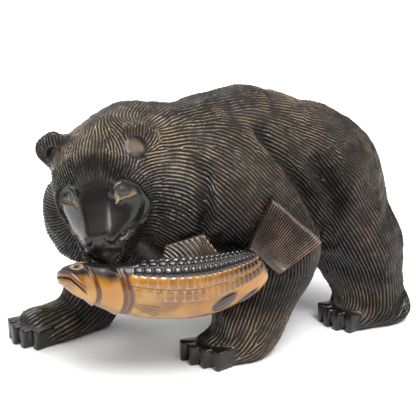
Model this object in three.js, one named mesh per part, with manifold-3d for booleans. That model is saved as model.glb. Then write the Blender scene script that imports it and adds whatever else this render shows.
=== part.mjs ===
// Carved wooden bear with a salmon in its mouth, in millimetres, +Z up.
// The bear walks towards -Y, its left side is +X, and it stands on four flat soles at z = 0.
// Bear and fish are one block of wood, so the part is one closed solid.
// The form is a distance field of rounded masses. A surface is drawn over it, the coarse locks
// of fur are cut along the lie of the coat, and the soles are cut flat.
import * as THREE from 'three';
import Module from 'manifold-3d';

// The body
const BACK_TOP = 235;           // top of the back over the belly
const BARREL_HALF_WIDTH = 59;
const BELLY_LOW = 81;
const RUMP_LENGTH = 78;
const SHOULDER_RADIUS = 43;
const HAUNCH_RADIUS = 53;

// The head, which is turned to the bear's left and dropped over the fish
const HEAD_AT = [-16.7, -112, 169.5];
const HEAD_TURN = 49;
const HEAD_DROP = 27;
const HEAD_LEAN = 11;
const EAR_APART = 38;
const MUZZLE_REACH = 73;
const NOSE_MIDDLE = 1.2;        // the nose sits a little to the left

// Lines on the face, each point by how far out from the middle and how far up the face
const EYE_OPENING = [[18, -25.2], [17.6, -20], [18.6, -14], [21, -10.6], [24.5, -9.4], [29.2, -11.2],
  [33.6, -18.4], [27.1, -20.6], [22.4, -20.8]];
const EYE_AT = [23.3, -15];
const EYE_RADIUS = 4.9;
const INNER_BROW = [[19.8, -5.8], [17, -8.2], [15.2, -12], [14.4, -17]];
const NOSE_WING = [[5.4, -54], [7.1, -57.5], [9.8, -59.4], [13, -58], [17.6, -52.8]];
// The bare mask of the face: how far its edge lies from its middle, by the angle around it
const MASK_MIDDLE = -35;
const MASK_EDGE = [[-90, 43], [-60, 34], [-44, 30], [-27, 29], [-10, 34], [7, 39], [14, 42], [24, 42.4],
  [35, 42.6], [44, 40.8], [50, 38.8], [58, 34], [64, 36], [77, 41], [90, 41]];

// The feet: the points of the four claws on the ground, heel and ball of each foot
const CLAW_WIDTH = 5.4;
const CLAW_HEIGHT = 19;
const CLAW_DEPTH = 9;
const HIND_STEP = 43;           // the right hind foot is this far ahead of the left one

// The salmon: its centre line, with half its height and half its thickness at each point
const SALMON = [
  { at: [0, -172.7, 94], high: 3, thick: 2 },
  { at: [10.5, -168.8, 97.3], high: 11, thick: 7 },
  { at: [22, -159, 96], high: 16, thick: 11 },
  { at: [39.6, -137.8, 90.4], high: 21.5, thick: 14 },
  { at: [57.4, -107.6, 87.7], high: 26, thick: 15 },
  { at: [70.5, -70.6, 86.4], high: 26.5, thick: 14.5 },
  { at: [80.0, -34.9, 92.1], high: 21.5, thick: 11 },
  { at: [82.1, -18.0, 98.2], high: 16, thick: 8 },
];
const SALMON_FACING = [54, 17.5];   // azimuth and elevation that the fish's side looks to
const TAIL_FACING = [75, 6];        // the tail lies back against the foreleg
const TAIL_ROOT = [81.4, -17.4, 97.8];
const TAIL_LENGTH = 59;
const TAIL_NOTCH = 9;           // how far the end of the tail is hollowed
const TAIL_THICK = 8;
const DORSAL_ROOT = [42.3, -97.4, 105.5];
const DORSAL_THICK = 5;
// Rows of scales, by how many degrees around the side they lie from the lateral line
const SCALE_ROWS = [[-22, -1.5], [1.5, 25], [25, 50], [50, 75], [75, 100]];
const SCALE_LENGTH = 7.9;
const SCALE_HEIGHT = 1.8;
const GILL_HEIGHT = 2.5;
const MOUTH_DEPTH = 2;
const FISH_EYE = { along: 0.233, angle: 66 };
const RAY_ANGLE = 10;           // degrees from one ray of the tail to the next
const RAY_DEPTH = 1.8;

// The carving
const LOCK_PITCH = 13;          // from one lock of fur to the next
const LOCK_DEPTH = 3.4;
const COAT_STEP = 2.2;          // the coat stands this far above the bare face
const SOLE_DEPTH = 6;           // wood below the ground line, cut away last
const CELL = 2.6;               // step of the grid that the surface is drawn on
const FACES = 9700;
const FACE_CARE = 3;            // how much closer the bare face, claws and fish keep to the drawn form
const BLACK_WOOD = 0x2b2724;

const add = (a, b, k = 1) => [a[0] + k * b[0], a[1] + k * b[1], a[2] + k * b[2]];
const dot = (a, b) => a[0] * b[0] + a[1] * b[1] + a[2] * b[2];
const cross = (a, b) => [a[1] * b[2] - a[2] * b[1], a[2] * b[0] - a[0] * b[2], a[0] * b[1] - a[1] * b[0]];
const size = (a) => Math.sqrt(dot(a, a));
const unit = (a) => {
  const n = size(a) || 1;
  return [a[0] / n, a[1] / n, a[2] / n];
};
const clamp = (v, low, high) => Math.min(high, Math.max(low, v));
const ease = (low, high, v) => {
  const t = clamp((v - low) / (high - low), 0, 1);
  return t * t * (3 - 2 * t);
};
// A rounded hump around nothing, of a half width
const hump = (v, half) => Math.max(1 - (v / half) ** 2, 0);
// A value read off rows of places and values
function valueAt(rows, x) {
  const next = rows.findIndex(([place]) => place > x);
  if (next < 1) return rows[next === 0 ? 0 : rows.length - 1][1];
  const [[from, low], [to, high]] = [rows[next - 1], rows[next]];
  return low + (high - low) * (x - from) / (to - from);
}

// Joining two forms, or cutting one by another, with a rounded seam of width k
function join(a, b, k) {
  const h = Math.max(k - Math.abs(a - b), 0) / k;
  return Math.min(a, b) - h * h * k / 4;
}
const keep = (a, b, k) => -join(-a, -b, k);

// Forms: each gives the distance from a point to its surface, negative inside
function ellipsoid(c, r) {
  return (p) => {
    const x = (p[0] - c[0]) / r[0];
    const y = (p[1] - c[1]) / r[1];
    const z = (p[2] - c[2]) / r[2];
    const a = Math.sqrt(x * x + y * y + z * z);
    const b = Math.sqrt((x / r[0]) ** 2 + (y / r[1]) ** 2 + (z / r[2]) ** 2);
    return a * (a - 1) / Math.max(b, 1e-6);
  };
}
// A limb from a to b with a radius at each end, squashed to `flat` of its size along `across`
function limb(a, b, ra, rb, flat = 1, across = [0, 0, 1]) {
  const ab = add(b, a, -1);
  const length2 = dot(ab, ab);
  return (p) => {
    const q = add(p, a, -1);
    const t = clamp(dot(q, ab) / length2, 0, 1);
    const v = add(q, ab, -t);
    const radius = ra + (rb - ra) * t;
    if (flat === 1) return size(v) - radius;
    const n = dot(v, across);
    const w2 = dot(v, v) - n * n;
    const round = Math.sqrt(Math.max(w2, 0) + (n / flat) ** 2);
    const shrink = round > 1e-3 ? clamp(size(v) / round, flat, 1) : 1;
    return (round - radius) * shrink;
  };
}
// Distance to a line through some points of a plane
function fromLine(line, x, y) {
  return line.slice(1).reduce((nearest, [bx, by], i) => {
    const [ax, ay] = line[i];
    const [ex, ey] = [bx - ax, by - ay];
    const t = clamp(((x - ax) * ex + (y - ay) * ey) / (ex * ex + ey * ey), 0, 1);
    return Math.min(nearest, Math.hypot(x - ax - t * ex, y - ay - t * ey));
  }, Infinity);
}
// Distance outside a closed outline, less than nothing inside it
function outsideOf(outline, x, y) {
  const closed = [...outline, outline[0]];
  let inside = false;
  outline.forEach(([ax, ay], i) => {
    const [bx, by] = closed[i + 1];
    if ((ay > y) !== (by > y) && x < ax + (y - ay) / (by - ay) * (bx - ax)) inside = !inside;
  });
  return fromLine(closed, x, y) * (inside ? -1 : 1);
}
// A plate with a polygon outline on the plane of two directions, `thick` to each side of it
function plate(root, outline, right, up, thick) {
  const out = cross(right, up);
  return (p) => {
    const q = add(p, root, -1);
    return keep(outsideOf(outline, dot(q, right), dot(q, up)), Math.abs(dot(q, out)) - thick, 3);
  };
}

// Directions seen from an azimuth and elevation: right, up and towards the viewer
function facing(azimuth, elevation) {
  const a = THREE.MathUtils.degToRad(azimuth);
  const e = THREE.MathUtils.degToRad(elevation);
  const towards = [Math.sin(a) * Math.cos(e), -Math.cos(a) * Math.cos(e), Math.sin(e)];
  const right = [Math.cos(a), Math.sin(a), 0];
  return { right, up: cross(towards, right), towards };
}

// The head's own axes: forward along the muzzle, to its left, and up
const headAxes = (() => {
  const level = facing(HEAD_TURN, -HEAD_DROP);
  const lean = THREE.MathUtils.degToRad(HEAD_LEAN);
  const forward = level.towards;
  const left = add(level.right.map((v) => v * Math.cos(lean)), level.up, Math.sin(lean));
  return [forward, left, cross(forward, left)];
})();
const toHead = (p) => {
  const q = add(p, HEAD_AT, -1);
  return headAxes.map((axis) => dot(q, axis));
};

// Chest, barrel, rump and the ridge of the back, each with the way its hair lies
const downTheSide = ([x]) => unit([0.002 * x, 0.9, -0.15 - 0.85 * ease(25, 75, Math.abs(x))]);
const overTheRump = ([, y]) => unit([0, 0.75 - 0.6 * ease(120, 190, y), -0.25 - 0.75 * ease(90, 190, y)]);
const bellyMiddle = (BACK_TOP + BELLY_LOW) / 2;
const torso = [
  { form: ellipsoid([-2, -42, 145], [57, 60, 71]), seam: 20, lay: downTheSide },
  { form: ellipsoid([0, 14, bellyMiddle], [BARREL_HALF_WIDTH, 84, BACK_TOP - bellyMiddle]), seam: 30,
    lay: downTheSide },
  { form: ellipsoid([2, 100, 135], [68, RUMP_LENGTH, 74]), seam: 35, lay: overTheRump },
  { form: limb([0, -50, 194], [0, 12, 193], 33, 35), seam: 20, lay: downTheSide },
  { form: limb([2, 40, 191], [2, 95, 171], 36, 35), seam: 20, lay: overTheRump },
];

// Legs, each a chain of limbs from the shoulder or hip down, and a foot with its claws
const claw = (tip, along) => {
  const forward = unit(along);
  const across = cross(forward, [0, 0, 1]);
  return (p) => {
    const q = add(p, tip, -1);
    const width = CLAW_WIDTH * (0.62 + 0.38 * clamp(q[2] / CLAW_HEIGHT, 0, 1));
    const sides = Math.abs(dot(q, across)) - width;
    const ends = Math.abs(dot(q, forward) + CLAW_DEPTH) - CLAW_DEPTH;
    const heights = Math.max(q[2] - CLAW_HEIGHT, -q[2] - SOLE_DEPTH);
    return keep(keep(sides, ends, 2), heights, 2);
  };
};
const LEFT_HIND_CLAWS = [[40, 91], [52, 88], [64, 89], [76, 95]];
const legs = [
  {
    limbs: [
      [[34, -21, 152], [48, 26, 94], SHOULDER_RADIUS, 35, 18],
      [[48, 26, 94], [51, -10, 34], 35, 31, 25],
      [[46, 6, 146], [56, 50, 101], 30, 15, 12],
      [[54, 22, 74], [54, 0, 24], 24, 18, 18],
    ],
    foot: { heel: [52, -18, 12], ball: [46, -40, 10], radii: [25, 23], flat: 0.7 },
    claws: [[29, -68], [42, -67], [54, -62], [66, -56]],
  },
  {
    limbs: [
      [[-38, -38, 150], [-64, -58, 92], 41, 36, 18],
      [[-64, -58, 92], [-86, -92, 36], 36, 28, 25],
    ],
    foot: { heel: [-88, -98, 14], ball: [-88, -146, 11], radii: [26, 26], flat: 0.7 },
    claws: [[-105, -174], [-91, -177], [-78, -174], [-67, -166]],
  },
  {
    limbs: [
      [[28, 98, 143], [49, 130, 76], HAUNCH_RADIUS, 40, 18],
      [[49, 130, 76], [58, 140, 28], 40, 34, 16],
    ],
    foot: { heel: [63, 150, 12], ball: [59, 118, 10], radii: [31, 26], flat: 0.62 },
    claws: LEFT_HIND_CLAWS,
  },
  {
    limbs: [
      [[-28, 96, 143], [-50, 96, 76], HAUNCH_RADIUS, 40, 18],
      [[-50, 96, 76], [-58, 100, 28], 40, 34, 16],
    ],
    foot: { heel: [-63, 107, 12], ball: [-59, 75, 10], radii: [31, 26], flat: 0.62 },
    claws: LEFT_HIND_CLAWS.map(([x, y]) => [-x, y - HIND_STEP]),
  },
].map(({ limbs, foot, claws }) => {
  const ahead = unit(add(foot.ball, foot.heel, -1));
  return {
    limbs: limbs.map(([from, to, ra, rb, seam]) => ({
      form: limb(from, to, ra, rb), seam, lay: () => unit(add(to, from, -1)),
    })),
    foot: { form: limb(foot.heel, foot.ball, ...foot.radii, foot.flat), seam: 12,
      lay: () => unit([ahead[0], ahead[1], -0.35]) },
    claws: claws.map(([x, y]) => {
      const spread = unit([x - foot.heel[0], y - foot.heel[1], 0]);
      return claw([x, y, 0], add(spread, ahead));
    }),
  };
});

// Skull, nape and cheeks, in the head's own axes. The hair lies back from the bridge of the nose.
const headMasses = [
  [[-2, 0, 5], [42, 46, 43], 12],
  [[-36, 22, -6], [40, 45, 46], 22],
  [[-6, -45, -44], [26, 27, 40], 18],
  [[0, -48, -64], [20, 20, 26], 16],
  [[-16, 46, -32], [32, 32, 44], 25],
].map(([at, radii, seam]) => ({ form: ellipsoid(at, radii), seam }));
const backFromTheNose = (q) => {
  const away = [q[0] - 62, q[1], q[2] - 2];
  return unit(headAxes.reduce((sum, axis, k) => add(sum, axis, away[k]), [0, 0, 0]));
};
// The muzzle is a wedge with a flat bridge that rises into the forehead, sloping sides and a
// flat front
function muzzle([f, l, u]) {
  const rise = clamp(MUZZLE_REACH - f, -4, 60);
  const above = u + 1 - 0.45 * rise - 0.006 * rise * rise;
  const back = clamp(MUZZLE_REACH - f, 0, 45);
  const over = Math.abs(l - 2.5 * ease(45, 65, f));
  const width = 9.3 + 0.06 * back + 0.007 * Math.max(back - 15, 0) ** 2;
  const slope = (over - width + 0.85 * above) / 1.31;
  const side = (over - 18 - 0.5 * (70 - f)) / 1.12;
  const front = f - MUZZLE_REACH - 0.12 * u;
  const ends = Math.max(-u - 33, 22 - f);
  return keep(keep(keep(keep(above / 1.15, slope, 3), side, 8), front, 3), ends, 5);
}
const jaw = limb([30, 0, -34], [64, 3, -36], 22, 14);
const mirrored = (q, side) => [q[0], q[1] * side, q[2]];
const earShell = ellipsoid([-7, EAR_APART, 32], [10, 17, 17]);
const earRoot = ellipsoid([-14, EAR_APART, 18], [12, 16, 18]);
const earHollow = ellipsoid([5, EAR_APART - 3, 32], [10, 9, 10]);
const nostril = ellipsoid([76, 5.4, -2.6], [6, 3, 2.6]);

// A place on the face: how far out from the middle, how far up, and how far out of the face
const onFace = ([f, l, u]) => [Math.abs(l), (u - f) * Math.SQRT1_2, (u + f) * Math.SQRT1_2];
// Distance outside the bare mask, and how much the forehead is meant
function offMask(q) {
  const [a, b, c] = onFace(q);
  if (c < -12) return { out: 30, forehead: 0 };
  const turn = THREE.MathUtils.radToDeg(Math.atan2(b - MASK_MIDDLE, a));
  return { out: Math.hypot(a, b - MASK_MIDDLE) - valueAt(MASK_EDGE, turn), forehead: ease(56, 64, turn) };
}
// How much coat there is at a point of the head: none on the mask, fading in up the forehead
function coatOnHead(q) {
  const { out, forehead } = offMask(q);
  return ease(-0.8 - 13 * forehead, 1.2 + 5 * forehead, out);
}
// Carving on the face: sockets, eyes between their lids, the edge of the mask, the wings of the nose
function faceRelief(q) {
  const [a, b, c] = onFace(q);
  if (c < 2) return 0;
  const opening = outsideOf(EYE_OPENING, a, b);
  const ball = Math.hypot(a - EYE_AT[0], b - EYE_AT[1]) / EYE_RADIUS;
  const socket = -2.4 * Math.exp(-(((a - 26) / 10) ** 2) - ((b + 11) / 7) ** 2);
  const eye = 3 * Math.sqrt(Math.max(1 - ball * ball, 0)) - 1.9;
  const brow = 1.5 * hump(fromLine(INNER_BROW, a, b), 2.4);
  const { out, forehead } = offMask(q);
  const edge = 1.8 * Math.exp(-(((out - 1.8) / 2.2) ** 2)) - 1.4 * Math.exp(-(((out + 3) / 3) ** 2));
  const [over] = onFace([q[0], q[1] - NOSE_MIDDLE, q[2]]);
  const wing = -1.8 * hump(fromLine(NOSE_WING, over, b), 2);
  return ease(2, 14, c) * (socket + eye * ease(0.6, -0.8, opening) + brow + edge * (1 - forehead) + wing);
}

function headForm(q) {
  let d = Infinity;
  headMasses.forEach(({ form, seam }) => {
    d = d === Infinity ? form(q) : join(d, form(q), seam);
  });
  d -= COAT_STEP * coatOnHead(q);
  d = join(join(d, muzzle(q), 10), jaw(q), 8) - faceRelief(q);
  [1, -1].forEach((side) => {
    const m = mirrored(q, side);
    d = join(d, keep(join(earShell(m), earRoot(m), 10), -earHollow(m), 3), 5);
    d = keep(d, -nostril([q[0], (q[1] - NOSE_MIDDLE) * side, q[2]]), 1.5);
  });
  return d;
}

// The salmon's body is a chain of flattened limbs along a smooth line through its points
const salmonBody = (() => {
  const smooth = (values) => new THREE.CatmullRomCurve3(
    values.map((v) => new THREE.Vector3(...v)), false, 'catmullrom', 0.5);
  const line = smooth(SALMON.map(({ at }) => at));
  const girth = smooth(SALMON.map(({ high, thick }) => [high, thick, 0]));
  const pieces = 3 * (SALMON.length - 1);
  let far = 0;
  return Array.from({ length: pieces }, (_, i) => {
    const [from, to] = [i, i + 1].map((k) => line.getPoint(k / pieces).toArray());
    const [start, end] = [i, i + 1].map((k) => girth.getPoint(k / pieces));
    const side = unit(cross(add(to, from, -1), [0, 0, 1]));
    const form = limb(from, to, start.x, end.x, (start.y + end.y) / (start.x + end.x), side);
    const piece = { form, from, to, high: (start.x + end.x) / 2, far };
    far += size(add(to, from, -1));
    return piece;
  });
})();
// Where a point lies on the salmon: how far along from the snout, as a share and in mm, and how
// high up its side
function salmonPlace(p) {
  let place = { d: Infinity };
  salmonBody.forEach(({ form, from, to, high, far }, i) => {
    const d = form(p);
    if (d >= place.d) return;
    const span = add(to, from, -1);
    const t = clamp(dot(add(p, from, -1), span) / dot(span, span), 0, 1);
    const middle = add(from, span, t);
    const up = (p[2] - middle[2]) / high;
    place = { d, along: (i + t) / salmonBody.length, up, far: far + t * size(span) };
  });
  return place;
}
// Carving on the salmon's side: gill covers, mouth, eye, and rows of scales like beads
function salmonRelief(p) {
  const { along, up, far } = salmonPlace(p);
  const angle = THREE.MathUtils.radToDeg(Math.asin(clamp(up, -1, 1)));
  const gill = (at, bow, middle) => {
    const edge = at - bow * (up - middle) ** 2;
    const rise = ease(edge - 0.06, edge - 0.006, along);
    return GILL_HEIGHT * rise * (1 - ease(edge - 0.004, edge + 0.014, along));
  };
  const slit = 0.24 - 6 * Math.max(along - 0.2, 0) ** 1.1;
  const lips = ease(0.02, 0.05, along) * (1 - ease(0.3, 0.325, along));
  const mouth = -MOUTH_DEPTH * lips * hump(up - slit, 0.09);
  const eye = 1.4 * hump(Math.hypot((along - FISH_EYE.along) / 0.026, (angle - FISH_EYE.angle) / 15), 1);
  const bend = along < 0.66 ? 10 * ((along - 0.66) / 0.17) ** 2 : 15 * ((along - 0.66) / 0.31) ** 2;
  const above = angle - Math.min(9 + bend, 26);
  const row = SCALE_ROWS.findIndex(([low, high]) => above > low && above < high);
  const [low, high] = SCALE_ROWS[Math.max(row, 0)];
  const across = (above - low) / (high - low) * 2 - 1;
  const count = far / (SCALE_LENGTH - 1.5 * ease(0.6, 0.95, along)) + 0.5 * (row & 1);
  const lengthways = (count - Math.floor(count)) * 2 - 1;
  const scaly = row < 0 ? 0 : ease(0.468, 0.482, along) * (1 - ease(0.955, 0.985, along));
  const scale = SCALE_HEIGHT * scaly * (1 - Math.max(across * across, lengthways * lengthways));
  return gill(0.362, 0.045, -0.35) + gill(0.455, 0.0388, -0.16) + mouth + eye + scale;
}
const fishView = facing(...SALMON_FACING);
const tailView = facing(...TAIL_FACING);
const polar = (length, degrees) => {
  const a = THREE.MathUtils.degToRad(degrees);
  return [length * Math.cos(a), length * Math.sin(a)];
};
const tailFan = plate(TAIL_ROOT, [
  [0, 0], polar(22, 137),
  ...[0, 1, 2, 3].map((k) => polar(TAIL_LENGTH - TAIL_NOTCH * Math.sin(k / 3 * Math.PI), 81 - 22.3 * k)),
  polar(16, -40),
], tailView.right, tailView.up, TAIL_THICK);
const dorsalFin = plate(DORSAL_ROOT, [[0, 0], [4, 15], [37, 25], [52, 5], [53, -4]],
  fishView.right, fishView.up, DORSAL_THICK);

function salmonForm(p) {
  const body = salmonBody.reduce((d, { form }) => Math.min(d, form(p)), Infinity);
  return join(body, dorsalFin(p), 3);
}

// The whole bear without its grooves, and which part of it a point belongs to
function bearForm(p) {
  let d = Infinity;
  torso.forEach(({ form, seam }) => {
    d = d === Infinity ? form(p) : join(d, form(p), seam);
  });
  const clawed = [];
  legs.forEach(({ limbs, foot, claws }) => {
    let leg = Infinity;
    limbs.forEach(({ form, seam }) => {
      leg = leg === Infinity ? form(p) : join(leg, form(p), seam);
    });
    leg = join(leg, foot.form(p), foot.seam);
    d = join(d, leg, 18);
    clawed.push(Math.min(...claws.map((form) => form(p))));
  });
  const claws = Math.min(...clawed);
  return { d: join(join(d, headForm(toHead(p)), 12), claws, 2.5), claws };
}
function wholeForm(p) {
  const { d } = bearForm(p);
  return join(join(d, salmonForm(p), 2), tailFan(p), 3);
}

// The way the hair lies at a point, and how deep the locks are cut there
function layAt(p) {
  const near = [];
  torso.forEach(({ form, lay }) => near.push([form(p), lay]));
  legs.forEach(({ limbs, foot }) => [...limbs, foot].forEach(({ form, lay }) => near.push([form(p), lay])));
  const q = toHead(p);
  headMasses.forEach(({ form }) => near.push([form(q), () => backFromTheNose(q)]));
  const closest = Math.min(...near.map(([d]) => d));
  return unit(near.reduce((sum, [d, lay]) => add(sum, lay(p), Math.exp((closest - d) / 7)), [0, 0, 0]));
}
function lockDepth(p) {
  const { d, claws } = bearForm(p);
  if (salmonForm(p) < d + 1 || claws < 1.5 || p[2] < 1) return 0;
  const q = toHead(p);
  const coat = headForm(q) < d + 4 ? coatOnHead(q) : 1;
  const ear = Math.min(earShell(q), earShell(mirrored(q, -1)));
  return LOCK_DEPTH * coat * ease(0, 4, ear) * ease(0, 3, tailFan(p) - d);
}

// Where wood meets wood only along an edge of the grid, a little more wood is left, so that the
// surface stays a plain one
function fillPinches(value, count, stride) {
  const planes = [[0, 1], [1, 2], [0, 2]];
  let filled = true;
  while (filled) {
    filled = false;
    for (let here = 0; here < value.length - stride[2] - stride[1] - 1; here += 1) {
      planes.forEach(([u, v]) => {
        const ring = [here, here + stride[u], here + stride[u] + stride[v], here + stride[v]];
        const inside = ring.map((spot) => value[spot] < 0);
        if (inside[0] !== inside[2] || inside[1] !== inside[3] || inside[0] === inside[1]) return;
        const [one, two] = inside[0] ? [ring[1], ring[3]] : [ring[0], ring[2]];
        value[value[one] < value[two] ? one : two] = -0.05 * CELL;
        filled = true;
      });
    }
  }
}

// Carving on the fish and its tail at a point of the surface, nothing elsewhere
function fishCarving(p) {
  const bear = bearForm(p).d;
  const fish = salmonForm(p);
  const tail = tailFan(p);
  if (tail < bear - 0.5 && tail < fish + 0.5) {
    const q = add(p, TAIL_ROOT, -1);
    const angle = THREE.MathUtils.radToDeg(Math.atan2(dot(q, tailView.up), dot(q, tailView.right)));
    const wave = Math.cos(2 * Math.PI * angle / RAY_ANGLE);
    return -RAY_DEPTH * (0.5 + 0.5 * wave) * ease(12, 22, size(q));
  }
  return fish < bear - 0.5 && dorsalFin(p) > 1 ? salmonRelief(p) : 0;
}

// The surface of a form on a grid: one point in each cell that the surface crosses
function drawSurface(form, low, high) {
  const count = [0, 1, 2].map((k) => Math.ceil((high[k] - low[k]) / CELL) + 1);
  const at = (i, j, k) => i + count[0] * (j + count[1] * k);
  const value = new Float32Array(count[0] * count[1] * count[2]);
  const spot = (i, j, k) => [low[0] + i * CELL, low[1] + j * CELL, low[2] + k * CELL];
  const block = 5;
  const clear = block * CELL;
  for (let k = 0; k < count[2]; k += block) {
    for (let j = 0; j < count[1]; j += block) {
      for (let i = 0; i < count[0]; i += block) {
        const centre = form(spot(i + block / 2, j + block / 2, k + block / 2));
        for (let c = k; c < Math.min(k + block, count[2]); c += 1) {
          for (let b = j; b < Math.min(j + block, count[1]); b += 1) {
            for (let a = i; a < Math.min(i + block, count[0]); a += 1) {
              value[at(a, b, c)] = Math.abs(centre) > clear ? centre : form(spot(a, b, c));
            }
          }
        }
      }
    }
  }
  const stride = [1, count[0], count[0] * count[1]];
  fillPinches(value, count, stride);
  const corners = [0, 1, 2, 3, 4, 5, 6, 7].map((c) => [c & 1, (c >> 1) & 1, (c >> 2) & 1]);
  const edges = [];
  corners.forEach((a, m) => corners.forEach((b, n) => {
    if (m < n && size(add(a, b, -1)) === 1) edges.push([m, n]);
  }));
  const cellPoint = new Map();
  const points = [];
  for (let k = 0; k < count[2] - 1; k += 1) {
    for (let j = 0; j < count[1] - 1; j += 1) {
      for (let i = 0; i < count[0] - 1; i += 1) {
        const v = corners.map(([a, b, c]) => value[at(i + a, j + b, k + c)]);
        const crossings = edges.filter(([m, n]) => (v[m] < 0) !== (v[n] < 0));
        if (crossings.length === 0) continue;
        let sum = [0, 0, 0];
        crossings.forEach(([m, n]) => {
          const t = v[m] / (v[m] - v[n]);
          sum = add(sum, add(corners[m], add(corners[n], corners[m], -1), t));
        });
        cellPoint.set(at(i, j, k), points.length);
        points.push([i, j, k].map((c, axis) => low[axis] + CELL * (c + sum[axis] / crossings.length)));
      }
    }
  }
  const faces = [];
  for (let k = 1; k < count[2] - 1; k += 1) {
    for (let j = 1; j < count[1] - 1; j += 1) {
      for (let i = 1; i < count[0] - 1; i += 1) {
        const here = at(i, j, k);
        for (let axis = 0; axis < 3; axis += 1) {
          const inside = value[here] < 0;
          if (inside === value[here + stride[axis]] < 0) continue;
          const one = stride[(axis + 1) % 3];
          const two = stride[(axis + 2) % 3];
          const ring = [here, here - one, here - one - two, here - two].map((cell) => cellPoint.get(cell));
          if (!inside) ring.reverse();
          faces.push([ring[0], ring[1], ring[2]], [ring[0], ring[2], ring[3]]);
        }
      }
    }
  }
  return { points, faces };
}

function normalsOf(points, faces) {
  const normals = points.map(() => [0, 0, 0]);
  faces.forEach((face) => {
    const [a, b, c] = face.map((v) => points[v]);
    const n = cross(add(b, a, -1), add(c, a, -1));
    face.forEach((v) => { normals[v] = add(normals[v], n); });
  });
  return normals.map(unit);
}

// Locks of fur: stripes that follow the lie of the coat. Each point has an angle that turns once
// from one lock to the next, spread from point to point and then evened out.
function cutLocks(points, faces) {
  const normals = normalsOf(points, faces);
  const depth = points.map(lockDepth);
  const over = points.map((p, i) => (depth[i] > 0 ? unit(cross(normals[i], layAt(p))) : [0, 0, 0]));
  const near = points.map(() => new Set());
  faces.forEach(([a, b, c]) => [[a, b], [b, c], [c, a]].forEach(([m, n]) => {
    near[m].add(n);
    near[n].add(m);
  }));
  const turn = (from, to) => {
    const middle = add(over[from], over[to]);
    return Math.PI / LOCK_PITCH * dot(middle, add(points[to], points[from], -1));
  };
  const angle = new Float64Array(points.length).fill(NaN);
  points.forEach((_, seed) => {
    if (depth[seed] === 0 || !Number.isNaN(angle[seed])) return;
    angle[seed] = 0;
    const queue = [seed];
    for (let head = 0; head < queue.length; head += 1) {
      const i = queue[head];
      near[i].forEach((j) => {
        if (depth[j] === 0 || !Number.isNaN(angle[j])) return;
        angle[j] = angle[i] + turn(i, j);
        queue.push(j);
      });
    }
  });
  for (let round = 0; round < 250; round += 1) {
    points.forEach((_, i) => {
      if (depth[i] === 0) return;
      let x = 0;
      let y = 0;
      near[i].forEach((j) => {
        if (depth[j] === 0) return;
        const a = angle[j] + turn(j, i);
        x += Math.cos(a);
        y += Math.sin(a);
      });
      angle[i] = Math.atan2(y, x);
    });
  }
  const cut = points.map((p, i) => {
    if (depth[i] === 0) return add(p, normals[i], fishCarving(p));
    const across = Math.atan2(Math.sin(angle[i]), Math.cos(angle[i])) / Math.PI;
    return add(p, normals[i], depth[i] * (across * across - 0.6));
  });
  return { points: cut, faces, care: depth.map((d) => (d === 0 ? FACE_CARE : 1)) };
}

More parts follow.
